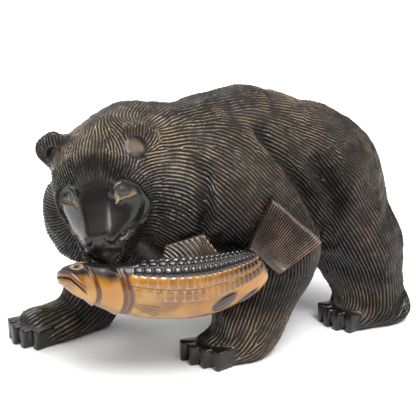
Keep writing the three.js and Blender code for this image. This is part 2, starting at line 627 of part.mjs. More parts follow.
// Fewer faces: edges are drawn together where that moves the surface least, by the usual
// sum of squared distances to the planes of the faces around
function simplify(points, faces, care, target) {
  const corner = faces.map((face) => [...face]);
  const position = points.map((p) => [...p]);
  const around = points.map(() => new Set());
  corner.forEach((face, f) => face.forEach((v) => around[v].add(f)));
  const quadric = points.map(() => new Float64Array(10));
  const faceNormal = (f, moved = -1, other = -1, place = null) => {
    const [a, b, c] = corner[f].map((v) => (v === moved || v === other ? place : position[v]));
    return cross(add(b, a, -1), add(c, a, -1));
  };
  corner.forEach((face, f) => {
    const wide = faceNormal(f);
    const area = size(wide) / 2;
    const n = unit(wide);
    const d = -dot(n, position[face[0]]);
    const terms = [n[0] * n[0], n[0] * n[1], n[0] * n[2], n[0] * d, n[1] * n[1], n[1] * n[2], n[1] * d,
      n[2] * n[2], n[2] * d, d * d];
    face.forEach((v) => terms.forEach((term, k) => { quadric[v][k] += care[v] * area * term; }));
  });
  const errorAt = (q, [x, y, z]) => q[0] * x * x + 2 * q[1] * x * y + 2 * q[2] * x * z + 2 * q[3] * x
    + q[4] * y * y + 2 * q[5] * y * z + 2 * q[6] * y + q[7] * z * z + 2 * q[8] * z + q[9];
  const best = (a, b) => {
    const q = quadric[a].map((term, k) => term + quadric[b][k]);
    const middle = position[a].map((v, k) => (v + position[b][k]) / 2);
    const places = [position[a], position[b], middle];
    const minor = [q[4] * q[7] - q[5] * q[5], q[2] * q[5] - q[1] * q[7], q[1] * q[5] - q[2] * q[4]];
    const det = q[0] * minor[0] + q[1] * minor[1] + q[2] * minor[2];
    if (Math.abs(det) > 1e-4 * (q[0] + q[4] + q[7]) ** 3) {
      const cofactors = [minor, [minor[1], q[0] * q[7] - q[2] * q[2], q[1] * q[2] - q[0] * q[5]],
        [minor[2], q[1] * q[2] - q[0] * q[5], q[0] * q[4] - q[1] * q[1]]];
      const exact = cofactors.map((row) => -(row[0] * q[3] + row[1] * q[6] + row[2] * q[8]) / det);
      if (size(add(exact, middle, -1)) < 2 * size(add(position[a], position[b], -1))) places.push(exact);
    }
    const costs = places.map((place) => errorAt(q, place));
    const cost = Math.min(...costs);
    const span = size(add(position[a], position[b], -1));
    return { cost: cost + 1e-4 * span * span, place: places[costs.indexOf(cost)] };
  };
  const heap = [];
  const stamp = new Int32Array(points.length);
  const push = (entry) => {
    let i = heap.push(entry) - 1;
    while (i > 0 && heap[(i - 1) >> 1].cost > entry.cost) {
      heap[i] = heap[(i - 1) >> 1];
      i = (i - 1) >> 1;
    }
    heap[i] = entry;
  };
  const pop = () => {
    const top = heap[0];
    const last = heap.pop();
    let i = 0;
    while (2 * i + 1 < heap.length) {
      let child = 2 * i + 1;
      if (child + 1 < heap.length && heap[child + 1].cost < heap[child].cost) child += 1;
      if (heap[child].cost >= last.cost) break;
      heap[i] = heap[child];
      i = child;
    }
    if (heap.length > 0) heap[i] = last;
    return top;
  };
  const offer = (a, b) => push({ a, b, stamps: stamp[a] + stamp[b], ...best(a, b) });
  const neighbours = (v) => {
    const found = new Set();
    around[v].forEach((f) => corner[f].forEach((w) => { if (w !== v) found.add(w); }));
    return found;
  };
  points.forEach((_, v) => neighbours(v).forEach((w) => { if (v < w) offer(v, w); }));
  let left = faces.length;
  while (left > target && heap.length > 0) {
    const { a, b, stamps, place } = pop();
    if (around[a].size === 0 || around[b].size === 0 || stamps !== stamp[a] + stamp[b]) continue;
    const beside = neighbours(b);
    const shared = [...neighbours(a)].filter((v) => beside.has(v));
    if (shared.length !== 2) continue;
    const hasBoth = (f) => corner[f].includes(a) && corner[f].includes(b);
    const kept = [...around[a], ...around[b]].filter((f) => !hasBoth(f));
    const folds = kept.some((f) => {
      const before = unit(faceNormal(f));
      const after = faceNormal(f, a, b, place);
      return dot(before, unit(after)) < 0.2 || size(after) < 0.02;
    });
    if (folds) continue;
    [...around[a]].filter(hasBoth).forEach((f) => {
      corner[f].forEach((v) => around[v].delete(f));
      left -= 1;
    });
    around[b].forEach((f) => {
      corner[f][corner[f].indexOf(b)] = a;
      around[a].add(f);
    });
    around[b] = new Set();
    position[a] = place;
    quadric[a] = quadric[a].map((term, k) => term + quadric[b][k]);
    stamp[a] += 1;
    stamp[b] += 1;
    neighbours(a).forEach((v) => offer(a, v));
  }
  const used = new Map();
  const outPoints = [];
  const outFaces = [];
  corner.forEach((face, f) => {
    if (!around[face[0]].has(f)) return;
    outFaces.push(face.map((v) => {
      if (!used.has(v)) {
        used.set(v, outPoints.length);
        outPoints.push(position[v]);
      }
      return used.get(v);
    }));
  });
  return { points: outPoints, faces: outFaces };
}

const wasm = await Module();
wasm.setup();
const asSolid = ({ points, faces }) => new wasm.Manifold(new wasm.Mesh({
  numProp: 3,
  vertProperties: new Float32Array(points.flat()),
  triVerts: new Uint32Array(faces.flat()),
}));
const boxSolid = (width, depth, height, at) => {
  const shape = new THREE.BoxGeometry(width, depth, height);
  shape.translate(...at);
  const place = shape.getAttribute('position');
  const names = new Map();
  const points = [];
  const number = Array.from({ length: place.count }, (_, i) => {
    const p = [place.getX(i), place.getY(i), place.getZ(i)];
    const name = p.join();
    if (!names.has(name)) {
      names.set(name, points.length);
      points.push(p);
    }
    return names.get(name);
  });
  const index = [...shape.getIndex().array].map((i) => number[i]);
  const faces = Array.from({ length: index.length / 3 }, (_, i) => index.slice(3 * i, 3 * i + 3));
  return asSolid({ points, faces });
};

const rough = drawSurface(wholeForm, [-130, -195, -20], [115, 215, 255]);
const carved = cutLocks(rough.points, rough.faces);
const ground = boxSolid(600, 600, 40, [0, 0, -20]);
const wood = asSolid(simplify(carved.points, carved.faces, carved.care, FACES)).subtract(ground);

// The origin is in the middle of the part's box, on the ground
const { vertProperties, triVerts } = wood.getMesh();
const geometry = new THREE.BufferGeometry();
geometry.setAttribute('position', new THREE.BufferAttribute(new Float32Array(vertProperties), 3));
geometry.setIndex(new THREE.BufferAttribute(new Uint32Array(triVerts), 1));
geometry.computeBoundingBox();
const middle = geometry.boundingBox.getCenter(new THREE.Vector3());
geometry.translate(-middle.x, -middle.y, 0);
geometry.computeVertexNormals();

const bear = new THREE.Mesh(geometry, new THREE.MeshStandardMaterial({
  color: BLACK_WOOD, roughness: 0.55, metalness: 0,
}));
bear.name = 'carved_bear';
const part = new THREE.Group();
part.add(bear);
export default part;
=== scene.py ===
# Looks of the carved wooden bear with a salmon in its mouth.
# The forms are the ones of the solid, in millimetres, drawn again on a finer grid, and the fine
# gouge marks of the coat are cut into that surface. The bear walks towards -Y, its left is +X.
import itertools
import math
from types import SimpleNamespace

import bpy
import numpy as np
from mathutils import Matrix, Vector


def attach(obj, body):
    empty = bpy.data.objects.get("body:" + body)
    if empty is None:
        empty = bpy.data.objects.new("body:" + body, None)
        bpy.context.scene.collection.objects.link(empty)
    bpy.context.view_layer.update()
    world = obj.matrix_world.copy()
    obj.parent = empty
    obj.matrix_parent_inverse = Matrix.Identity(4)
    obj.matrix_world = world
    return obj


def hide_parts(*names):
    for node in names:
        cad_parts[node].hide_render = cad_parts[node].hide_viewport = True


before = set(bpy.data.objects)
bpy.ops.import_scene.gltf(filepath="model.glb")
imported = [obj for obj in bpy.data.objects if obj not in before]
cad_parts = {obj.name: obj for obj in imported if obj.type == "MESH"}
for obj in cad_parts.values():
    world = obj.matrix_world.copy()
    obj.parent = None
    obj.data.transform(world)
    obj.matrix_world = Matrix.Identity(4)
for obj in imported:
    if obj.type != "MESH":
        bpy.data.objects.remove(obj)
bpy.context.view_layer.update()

F = np.float32
MM = 0.001
MIDDLE = np.array([-7.298, 2.030, 0.0])    # of the form's box, which the part's origin lies under
TAU = 2 * math.pi


# Small helpers. A cloud of points is an array of three rows.
def unit(v):
    """A vector made one long."""
    v = np.asarray(v, dtype=float)
    return v / np.linalg.norm(v)


def units(v):
    """Each column of an array made one long."""
    return v / np.maximum(np.sqrt((v * v).sum(0)), 1e-9)


def ease(low, high, v):
    """Nothing at one value and one at another, smooth between them."""
    t = np.clip((v - low) / (high - low), 0, 1)
    return t * t * (3 - 2 * t)


def bump(centre, half, v):
    """A rounded hump around a value, one in its middle."""
    return np.clip(1 - ((v - centre) / half) ** 2, 0, 1)


def join(a, b, k):
    """Two forms as one, with a rounded seam of a width."""
    h = np.maximum(k - np.abs(a - b), 0) / k
    return np.minimum(a, b) - h * h * (k / 4)


def keep(a, b, k):
    """What two forms share, with a rounded edge of a width."""
    return -join(-a, -b, k)


def facing(azimuth, elevation):
    """Right, up and towards the eye, for an eye at an azimuth and an elevation in degrees."""
    a, e = math.radians(azimuth), math.radians(elevation)
    towards = np.array([math.sin(a) * math.cos(e), -math.cos(a) * math.cos(e), math.sin(e)])
    right = np.array([math.cos(a), math.sin(a), 0.0])
    return right, np.cross(towards, right), towards


def ellipsoid(c, r):
    def form(p):
        x, y, z = (p[0] - c[0]) / r[0], (p[1] - c[1]) / r[1], (p[2] - c[2]) / r[2]
        a = np.sqrt(x * x + y * y + z * z)
        b = np.sqrt((x / r[0]) ** 2 + (y / r[1]) ** 2 + (z / r[2]) ** 2)
        return a * (a - 1) / np.maximum(b, 1e-6)
    return form


def limb(a, b, ra, rb, flat=1.0):
    """A round limb from one place to another, which may be flatter from above."""
    a, b = np.array(a, float), np.array(b, float)
    ab = b - a
    length2 = float(ab @ ab)

    def form(p):
        x, y, z = p[0] - a[0], p[1] - a[1], p[2] - a[2]
        t = np.clip((x * ab[0] + y * ab[1] + z * ab[2]) / length2, 0, 1)
        x, y, z = x - ab[0] * t, y - ab[1] * t, z - ab[2] * t
        radius = ra + (rb - ra) * t
        far2 = x * x + y * y + z * z
        if flat == 1.0:
            return np.sqrt(far2) - radius
        far = np.sqrt(np.maximum(far2 - z * z, 0) + (z / flat) ** 2)
        shrink = np.clip(np.sqrt(far2) / np.maximum(far, 1e-3), flat, 1)
        return (far - radius) * shrink
    return form


def noise(p, size, seed):
    """Smooth noise with features of a size in mm: a sum of waves in set directions."""
    rng = np.random.default_rng(seed)
    total = 0
    for _ in range(9):
        d = unit(rng.normal(size=3)) * TAU / size * rng.uniform(0.6, 1.3)
        total = total + np.sin(d[0] * p[0] + d[1] * p[1] + d[2] * p[2] + rng.uniform(0, TAU))
    return (total / 4.2).astype(F)


# The head's own axes: forward along the muzzle, to the head's left, and up
HEAD_AT = np.array([-16.7, -112, 169.5])
HEAD_TURN, HEAD_DROP, HEAD_LEAN = 49, 27, 11
EAR_APART, MUZZLE_REACH = 38, 73
LEVEL, UPRIGHT, FORWARD = facing(HEAD_TURN, -HEAD_DROP)
LEFT = LEVEL * math.cos(math.radians(HEAD_LEAN)) + UPRIGHT * math.sin(math.radians(HEAD_LEAN))
HEAD_AXES = np.array([FORWARD, LEFT, np.cross(FORWARD, LEFT)])


def to_head(p):
    x, y, z = p[0] - HEAD_AT[0], p[1] - HEAD_AT[1], p[2] - HEAD_AT[2]
    return np.stack([x * a[0] + y * a[1] + z * a[2] for a in HEAD_AXES])


def from_head(q):
    return HEAD_AXES.T @ q


def to_side(q, side, middle=0.0):
    """Places on the head, left for right where the side is -1."""
    return np.stack([q[0], (q[1] - middle) * side, q[2]])


# Barrel, chest and rump, with the way the hair lies on each
def along_the_side(p):
    return units(np.stack([0.002 * p[0], 0.9 + 0 * p[0], -0.15 - 0.85 * ease(25, 75, np.abs(p[0]))]))


def over_the_rump(p):
    back = 0.75 - 0.6 * ease(120, 190, p[1])
    down = 0.25 + 0.75 * ease(90, 190, p[1])
    return units(np.stack([0 * p[0], back, -down]))


def constant(v):
    v = unit(v)
    return lambda p: np.repeat(v[:, None], p.shape[1], 1)


# Each mass has its form, the seam to the ones before it, and the lay of its hair
TORSO = [
    (ellipsoid([-2, -42, 145], [57, 60, 71]), 20, along_the_side),
    (ellipsoid([0, 14, 158], [59, 84, 77]), 30, along_the_side),
    (ellipsoid([2, 100, 135], [68, 78, 74]), 35, over_the_rump),
    (limb([0, -50, 194], [0, 12, 193], 33, 35), 20, along_the_side),
    (limb([2, 40, 191], [2, 95, 171], 36, 35), 20, over_the_rump),
]

CLAW_WIDTH, CLAW_HEIGHT, CLAW_DEPTH = 5.4, 19, 9    # half its width, its height, half its length
CLAW_TAPER = 0.62    # width at the ground as a share of the width above
CLAW_BELOW, CLAW_ROUND, CLAW_SEAM = 6, 2, 2.5
ANKLE_SEAM, HIP_SEAM, NECK_SEAM = 12, 18, 12
HIND_STRIDE = 43    # the right hind foot stands this far ahead
LEFT_HIND_CLAWS = [(40, 91), (52, 88), (64, 89), (76, 95)]

# Limbs with two radii and a seam, a foot from heel to ball with a flatness, and the tips of the claws
LEGS = [
    ([((34, -21, 152), (48, 26, 94), 43, 35, 18), ((48, 26, 94), (51, -10, 34), 35, 31, 25),
      ((46, 6, 146), (56, 50, 101), 30, 15, 12), ((54, 22, 74), (54, 0, 24), 24, 18, 18)],
     ((52, -18, 12), (46, -40, 10), 25, 23, 0.7), [(29, -68), (42, -67), (54, -62), (66, -56)]),
    ([((-38, -38, 150), (-64, -58, 92), 41, 36, 18), ((-64, -58, 92), (-86, -92, 36), 36, 28, 25)],
     ((-88, -98, 14), (-88, -146, 11), 26, 26, 0.7), [(-105, -174), (-91, -177), (-78, -174), (-67, -166)]),
    ([((28, 98, 143), (49, 130, 76), 53, 40, 18), ((49, 130, 76), (58, 140, 28), 40, 34, 16)],
     ((63, 150, 12), (59, 118, 10), 31, 26, 0.62), LEFT_HIND_CLAWS),
    ([((-28, 96, 143), (-50, 96, 76), 53, 40, 18), ((-50, 96, 76), (-58, 100, 28), 40, 34, 16)],
     ((-63, 150 - HIND_STRIDE, 12), (-59, 118 - HIND_STRIDE, 10), 31, 26, 0.62),
     [(-x, y - HIND_STRIDE) for x, y in LEFT_HIND_CLAWS]),
]


def claw(tip, along):
    """A block along a direction on the ground, narrower towards the ground."""
    forward = unit(along)
    across = np.cross(forward, (0, 0, 1))

    def form(p):
        x, y = p[0] - tip[0], p[1] - tip[1]
        width = CLAW_WIDTH * (CLAW_TAPER + (1 - CLAW_TAPER) * np.clip(p[2] / CLAW_HEIGHT, 0, 1))
        sides = np.abs(x * across[0] + y * across[1]) - width
        ends = np.abs(x * forward[0] + y * forward[1] + CLAW_DEPTH) - CLAW_DEPTH
        over_and_under = np.maximum(p[2] - CLAW_HEIGHT, -p[2] - CLAW_BELOW)
        return keep(keep(sides, ends, CLAW_ROUND), over_and_under, CLAW_ROUND)
    return form


def leg_parts(limbs, foot, tips):
    """Form, seam and lay of the hair for each limb and the foot, and claws that fan out from it."""
    heel, ball, *size = foot
    ahead = unit(np.subtract(ball, heel))
    masses = [(limb(a, b, ra, rb), seam, constant(np.subtract(b, a))) for a, b, ra, rb, seam in limbs]
    masses.append((limb(heel, ball, *size), ANKLE_SEAM, constant([ahead[0], ahead[1], -0.35])))
    return masses, [claw((x, y), unit([x - heel[0], y - heel[1], 0]) + ahead) for x, y in tips]


LEG_MASSES, LEG_CLAWS = zip(*[leg_parts(*leg) for leg in LEGS])

# Head: skull, neck, right ruff with its lower end, and left ruff
HEAD_MASSES = [(ellipsoid(c, r), k) for c, r, k in [
    ([-2, 0, 5], [42, 46, 43], 12), ([-36, 22, -6], [40, 45, 46], 22), ([-6, -45, -44], [26, 27, 40], 18),
    ([0, -48, -64], [20, 20, 26], 16), ([-16, 46, -32], [32, 32, 44], 25)]]
JAW = limb([30, 0, -34], [64, 3, -36], 22, 14)
EAR_SHELL = ellipsoid([-7, EAR_APART, 32], [10, 17, 17])
EAR_ROOT = ellipsoid([-14, EAR_APART, 18], [12, 16, 18])
EAR_HOLLOW = ellipsoid([5, EAR_APART - 3, 32], [10, 9, 10])
EAR_SEAM, EAR_EDGE, EAR_TO_HEAD = 10, 3, 5
NOSTRIL = ellipsoid([76, 5.4, -2.6], [6, 2.6, 2.3])
NOSTRIL_EDGE = 1.5
COAT_STEP = 2.2    # how far the coat stands above the bare face
MUZZLE_SEAM, JAW_SEAM = 10, 8


def in_the_ears(q):
    """The hollows of both ears; less than nothing inside them."""
    return np.minimum(EAR_HOLLOW(q), EAR_HOLLOW(to_side(q, -1)))


def bridge_height(f):
    """Height of the line from the nose up to the forehead."""
    back = np.clip(MUZZLE_REACH - f, -4, 60)
    return -1 + 0.45 * back + 0.006 * back * back


NOSE_HALF, NOSE_FLARE = 9.3, 0.06    # half the bridge's width at the nose, and its growth per mm
NOSE_ASIDE = 2.5    # the nose is cut a little to the left
SHOULDER_FALL = 0.85    # the flats beside the bridge fall this far per mm outwards
MUZZLE_HALF, MUZZLE_SPREAD = 18, 0.5
CHIN_DROP, MUZZLE_ROOT = 33, 22


def muzzle(q):
    """A block with a flat bridge, sloping shoulders and sides, each divided by its steepness."""
    f, l, u = q
    top = (u - bridge_height(f)) / 1.15
    back = np.clip(MUZZLE_REACH - f, 0, 45)
    l = l - NOSE_ASIDE * ease(45, 65, f)
    width = NOSE_HALF + NOSE_FLARE * back + 0.007 * np.maximum(back - 15, 0) ** 2
    slope = (np.abs(l) - width + SHOULDER_FALL * (u - bridge_height(f))) / 1.31
    side = (np.abs(l) - MUZZLE_HALF - MUZZLE_SPREAD * (70 - f)) / 1.12
    front = f - MUZZLE_REACH - 0.12 * u
    ends = np.maximum(-u - CHIN_DROP, MUZZLE_ROOT - f)
    return keep(keep(keep(keep(top, slope, 3), side, 8), front, 3), ends, 5)


def on_face(q):
    """Places on the face: out from the middle, up it, and out of it."""
    f, l, u = q
    return np.abs(l), (u - f) * 0.7071, (u + f) * 0.7071


# The mask of the face: how far its edge lies from its middle, by the angle around it in degrees
MASK_MIDDLE = -35
MASK_ANGLES = [-90, -60, -44, -27, -10, 7, 14, 24, 35, 44, 50, 58, 64, 77, 90]
MASK_REACH = [43, 34, 30, 29, 34, 39, 42, 42.4, 42.6, 40.8, 38.8, 34, 36, 41, 41]
MASK_DEEPEST, FAR_OFF = -12, 30    # further back on the head, everything counts as off the mask


def off_mask(q):
    """Distance outside the mask of the face, and how much of its edge is the forehead's."""
    a, b, c = on_face(q)
    turn = np.degrees(np.arctan2(b - MASK_MIDDLE, a))
    out = np.hypot(a, b - MASK_MIDDLE) - np.interp(turn, MASK_ANGLES, MASK_REACH)
    return np.where(c > MASK_DEEPEST, out, FAR_OFF + 0 * out), ease(56, 64, turn)


def coat_on_head(q):
    """How much coat there is. It starts sharply at the cheeks and fades in over the forehead."""
    out, forehead = off_mask(q)
    return ease(-0.8 - 13 * forehead, 1.2 + 5 * forehead, out)


def off_path(p, path):
    """Distance to a line through some places, on the face or in space."""
    best = np.inf
    for start, end in zip(path, path[1:]):
        way = np.subtract(end, start).astype(F)
        away = [x - a for x, a in zip(p, start)]
        t = np.clip(sum(v * w for v, w in zip(away, way)) / (way @ way), 0, 1)
        best = np.minimum(best, sum((v - w * t) ** 2 for v, w in zip(away, way)))
    return np.sqrt(best)


def outside(a, b, corners):
    """Distance outside a closed outline; less than nothing inside it."""
    ring = corners + corners[:1]
    within = np.zeros(a.shape, bool)
    for (x0, y0), (x1, y1) in zip(ring, ring[1:]):
        if y0 != y1:
            within ^= ((y0 > b) != (y1 > b)) & (a < x0 + (x1 - x0) * (b - y0) / (y1 - y0))
    return off_path((a, b), ring) * np.where(within, -1, 1)


# Outlines on the face, by how far out from the middle and how far up
EYE_OPENING = [(18, -25.2), (17.6, -20), (18.6, -14), (21, -10.6), (24.5, -9.4), (29.2, -11.2), (32, -14.8),
               (33.6, -18.4), (27.1, -20.6), (22.4, -20.8), (20.2, -22)]
EYE_AT, EYE_SIZE, EYE_RISE, LID_CUT = (23.3, -15), 4.9, 3, 1.9
SOCKET_AT, SOCKET_SIZE, SOCKET_DEPTH = (26, -11), (10, 7), 2.4
NOSE_MIDDLE = 1.2
MOUTH_AT, MOUTH_BEND, MOUTH_HALF = -53.4, 0.02, 12

# Raised and cut lines of the face, each with half its width and its height
UPPER_LID = [(17, -19), (18, -13.8), (20.5, -9.8), (24.5, -8.4), (29.4, -10.2), (32.8, -14), (35, -18.6)]
LOWER_LID = [(18, -26), (20.8, -23), (24, -22), (28, -21.8), (34, -19.4)]
INNER_BROW = [(19.8, -5.8), (17, -8.2), (15.2, -12), (14.4, -17)]
WING = [(5.4, -54), (7.1, -57.5), (9.8, -59.4), (13, -58), (17.6, -52.8)]
UNDER_WING = [(12, -60.2), (16, -60), (20, -57)]
EYE_LINES = [(UPPER_LID, 1.5, 1.2), (LOWER_LID, 1.4, 0.7), (INNER_BROW, 2, 1.5)]
NOSE_LINES = [(WING, 1.5, -1.7), (UNDER_WING, 0.9, -0.7)]


def lines_on_face(a, b, lines):
    return sum(high * bump(0, wide, off_path((a, b), path)) for path, wide, high in lines)


def face_relief(q):
    """Height of the carving: sockets, eyes, lids, brows, the mask's edge, nose and lips."""
    a, b, c = on_face(q)
    front = ease(2, 14, c)
    opening = outside(a, b, EYE_OPENING)
    ball = np.hypot(a - EYE_AT[0], b - EYE_AT[1])
    socket = ((a - SOCKET_AT[0]) / SOCKET_SIZE[0]) ** 2 + ((b - SOCKET_AT[1]) / SOCKET_SIZE[1]) ** 2
    h = -SOCKET_DEPTH * np.exp(-socket)
    h = h - LID_CUT * ease(0.5, -0.7, opening)
    h = h + EYE_RISE * np.sqrt(np.clip(1 - (ball / EYE_SIZE) ** 2, 0, 1)) * ease(0.6, -0.8, opening)
    h = h + lines_on_face(a, b, EYE_LINES)
    out, forehead = off_mask(q)
    edge = 1.8 * np.exp(-((out - 1.8) / 2.2) ** 2) - 1.4 * np.exp(-((out + 3) / 3) ** 2)
    h = h + edge * (1 - forehead)
    a, b, c = on_face(to_side(q, 1, NOSE_MIDDLE))
    h = h + lines_on_face(a, b, NOSE_LINES)
    mouth = np.abs(b - MOUTH_AT - MOUTH_BEND * a * a)
    h = h - 0.9 * bump(0, 1.2, mouth) * ease(MOUTH_HALF, MOUTH_HALF - 3, a)
    return h * front


def head_form(q):
    d = joined(HEAD_MASSES, q) - COAT_STEP * coat_on_head(q)
    d = join(d, muzzle(q), MUZZLE_SEAM)
    d = join(d, JAW(q), JAW_SEAM)
    d = d - face_relief(q)
    for side in (1, -1):
        m = to_side(q, side)
        ear = keep(join(EAR_SHELL(m), EAR_ROOT(m), EAR_SEAM), -EAR_HOLLOW(m), EAR_EDGE)
        d = join(d, ear, EAR_TO_HEAD)
        d = keep(d, -NOSTRIL(to_side(q, side, NOSE_MIDDLE)), NOSTRIL_EDGE)
    return d


def claws_form(p):
    return np.minimum.reduce([form(p) for claws in LEG_CLAWS for form in claws])


def joined(masses, p):
    """Masses as one form, each with its own seam to the ones before it."""
    d = masses[0][0](p)
    for form, seam, *_ in masses[1:]:
        d = join(d, form(p), seam)
    return d


def body_form(p):
    d = joined(TORSO, p)
    for masses in LEG_MASSES:
        d = join(d, joined(masses, p), HIP_SEAM)
    return d


# Hollows between the muscles and the edges that swell beside them, each along a line on the coat
# with a width and a height
HOLLOWS = [
    ([(47, 8, 204), (58, 21, 182), (63, 38, 156), (68, 49, 135), (68, 60, 112)], 8, -11),
    ([(62, 60, 172), (70, 65, 157), (76, 74, 140), (72, 72, 118), (62, 74, 92)], 8, -11),
    ([(48, -57, 190), (56, -59, 171), (59, -61, 151), (55, -61, 128)], 5, -5),
    ([(58, 86, 72), (74, 98, 64), (88, 117, 54)], 9, -3.5),
]
SWELLS = [
    ([(36, -26, 214), (54, 0, 194), (63, 12, 178), (68, 27, 157), (72, 42, 138), (78, 50, 112)], 10, 3),
    ([(50, -67, 188), (57, -70, 171), (59, -71, 151), (55, -70, 130)], 8, 2),
]


def near_line(p, line, wide):
    """One on a line, falling away with a width."""
    return np.exp(-(off_path(p, line) / wide) ** 2)


def muscles(p):
    return sum(high * near_line(p, line, wide) for line, wide, high in HOLLOWS + SWELLS)


def bear_form(p):
    d = join(body_form(p) - muscles(p), head_form(to_head(p)), NECK_SEAM)
    d = join(d, claws_form(p), CLAW_SEAM)
    return np.maximum(d, -p[2])


def lay_at(p):
    """The way the hair lies at each point: a blend of the masses that are nearest."""
    near = [(form(p), lay(p)) for masses in (TORSO, *LEG_MASSES) for form, _, lay in masses]
    q = to_head(p)
    from_nose = from_head(units(np.stack([q[0] - 62, q[1], q[2] - 2])))
    near += [(form(q), from_nose) for form, _ in HEAD_MASSES]
    for side in (1, -1):
        out = np.stack([0.3 * q[0], q[1] - side * (EAR_APART - 2), q[2] - 24])
        near.append((EAR_SHELL(to_side(q, side)) - 6, from_head(units(out))))
    closest = np.minimum.reduce([d for d, _ in near])
    return units(sum(lay * np.exp((closest - d) / 7) for d, lay in near))


# A surface through a form: one point in each cell of a grid that the surface crosses
BLOCK, BATCH = 6, 1500    # cells along a block of the grid, and blocks worked out at once


def values_on_grid(form, low, high, step):
    """A form's values on a grid, worked out point by point only near its surface."""
    blocks = np.ceil((np.array(high) - low) / step / BLOCK).astype(int)
    centre = [low[k] + step * (np.arange(blocks[k]) * BLOCK + (BLOCK - 1) / 2) for k in range(3)]
    grid = np.stack(np.meshgrid(*centre, indexing="ij")).reshape(3, -1).astype(F)
    middle = form(grid).reshape(blocks)
    value = np.empty(blocks * BLOCK, F)
    view = value.reshape(blocks[0], BLOCK, blocks[1], BLOCK, blocks[2], BLOCK).transpose(0, 2, 4, 1, 3, 5)
    view[:] = middle[:, :, :, None, None, None]
    near = np.argwhere(np.abs(middle) < 1.05 * BLOCK * step)
    inner = np.stack(np.meshgrid(*[np.arange(BLOCK)] * 3, indexing="ij")).reshape(3, -1)
    for k in range(0, len(near), BATCH):
        some = near[k:k + BATCH]
        places = (some.T[:, :, None] * BLOCK + inner[:, None, :]) * step + low[:, None, None]
        got = form(places.reshape(3, -1).astype(F))
        view[some[:, 0], some[:, 1], some[:, 2]] = got.reshape(len(some), BLOCK, BLOCK, BLOCK)
    return value


def fill_pinches(value, step):
    """Fills a corner where two solid ones touch only across a face of the grid."""
    stride = np.array([value.shape[1] * value.shape[2], value.shape[2], 1])
    flat = value.reshape(-1)
    found = True
    while found:
        inside = flat < 0
        found = False
        for u, v in ((0, 1), (1, 2), (0, 2)):
            n = flat.size - stride[u] - stride[v]
            a, b = inside[:n], inside[stride[u]:stride[u] + n]
            c, d = inside[stride[u] + stride[v]:][:n], inside[stride[v]:stride[v] + n]
            for here in np.nonzero((a == c) & (b == d) & (a != b))[0]:
                ring = here + np.array([0, stride[u], stride[u] + stride[v], stride[v]])
                out = ring[flat[ring] >= 0]
                flat[out[np.argmin(flat[out])]] = -0.05 * step
                found = True


def net_points(value, low, step):
    """The mean place where the surface crosses each cell's edges, and each cell's number."""
    inside = value < 0
    part = [slice(0, -1), slice(1, None)]
    corners = list(itertools.product((0, 1), repeat=3))
    full = sum(inside[part[a], part[b], part[c]].astype(np.int8) for a, b, c in corners)
    cells = np.argwhere((full > 0) & (full < 8))
    index = np.full(full.shape, -1, np.int32)
    index[tuple(cells.T)] = np.arange(len(cells))
    at = np.stack([value[cells[:, 0] + a, cells[:, 1] + b, cells[:, 2] + c] for a, b, c in corners])
    place = np.zeros((len(cells), 3))
    hits = np.zeros(len(cells))
    for m, n in itertools.combinations(range(8), 2):
        way = np.subtract(corners[n], corners[m])
        if abs(way).sum() == 1:
            cross = (at[m] < 0) != (at[n] < 0)
            t = np.where(cross, at[m] / np.where(cross, at[m] - at[n], 1), 0)
            place += cross[:, None] * (np.array(corners[m]) + t[:, None] * way)
            hits += cross
    return (low + step * (cells + place / hits[:, None])).T, index


def net_quads(value, index):
    """One face around each edge of the grid that the surface crosses."""
    inside = value < 0
    quads = []
    for axis in range(3):
        shifted = [slice(1, -1)] * 3
        beyond = list(shifted)
        beyond[axis] = slice(2, None)
        here_in, next_in = inside[tuple(shifted)], inside[tuple(beyond)]
        at_edge = np.argwhere(here_in != next_in) + 1
        one, two = np.eye(3, dtype=int)[[(axis + 1) % 3, (axis + 2) % 3]]
        ring = np.stack([index[tuple((at_edge - off).T)] for off in (0 * one, one, one + two, two)], 1)
        flip = ~inside[tuple(at_edge.T)]
        ring[flip] = ring[flip][:, ::-1]
        quads.append(ring)
    return np.concatenate(quads)


def draw_surface(form, low, high, step):
    low = np.array(low, float)
    value = values_on_grid(form, low, high, step)
    fill_pinches(value, step)
    points, index = net_points(value, low, step)
    return points.astype(F), net_quads(value, index)


def edges_of(quads):
    """The edges of a mesh, and which edge each side of each face is."""
    pairs = np.sort(np.concatenate([quads[:, [k, (k + 1) % 4]] for k in range(4)]), 1)
    count = quads.max() + 1
    keys, where = np.unique(pairs[:, 0].astype(np.int64) * count + pairs[:, 1], return_inverse=True)
    return np.stack([keys // count, keys % count], 1), where.reshape(4, -1)


def with_middles(field, edges, quads):
    """A field of the points, and its mean on each edge and each face."""
    field = np.atleast_2d(field)
    return np.concatenate([field, field[:, edges].mean(2), field[:, quads].mean(2)], 1)


def split_quads(count, quads, edges, where):
    """Each face becomes four, with new points in the middle of edges and faces."""
    mid = count + where
    centre = count + len(edges) + np.arange(len(quads))
    return np.concatenate([np.stack([quads[:, k], mid[k], centre, mid[k - 1]], 1) for k in range(4)])


def settle(form, points):
    """Points moved onto the surface of a form, and the surface's directions there."""
    h = 0.4
    d = form(points)
    slope = np.stack([form(points + h * np.eye(3, dtype=F)[:, k:k + 1]) - d for k in range(3)]) / h
    n = units(slope)
    size = np.maximum(np.sqrt((slope * slope).sum(0)), 0.5)
    points = (points - n * np.clip(d / size, -1.5, 1.5)).astype(F)
    return points, n.astype(F)


# Gouge marks: each point gets an angle that turns once from one groove to the next
SEED_EVERY = 4001


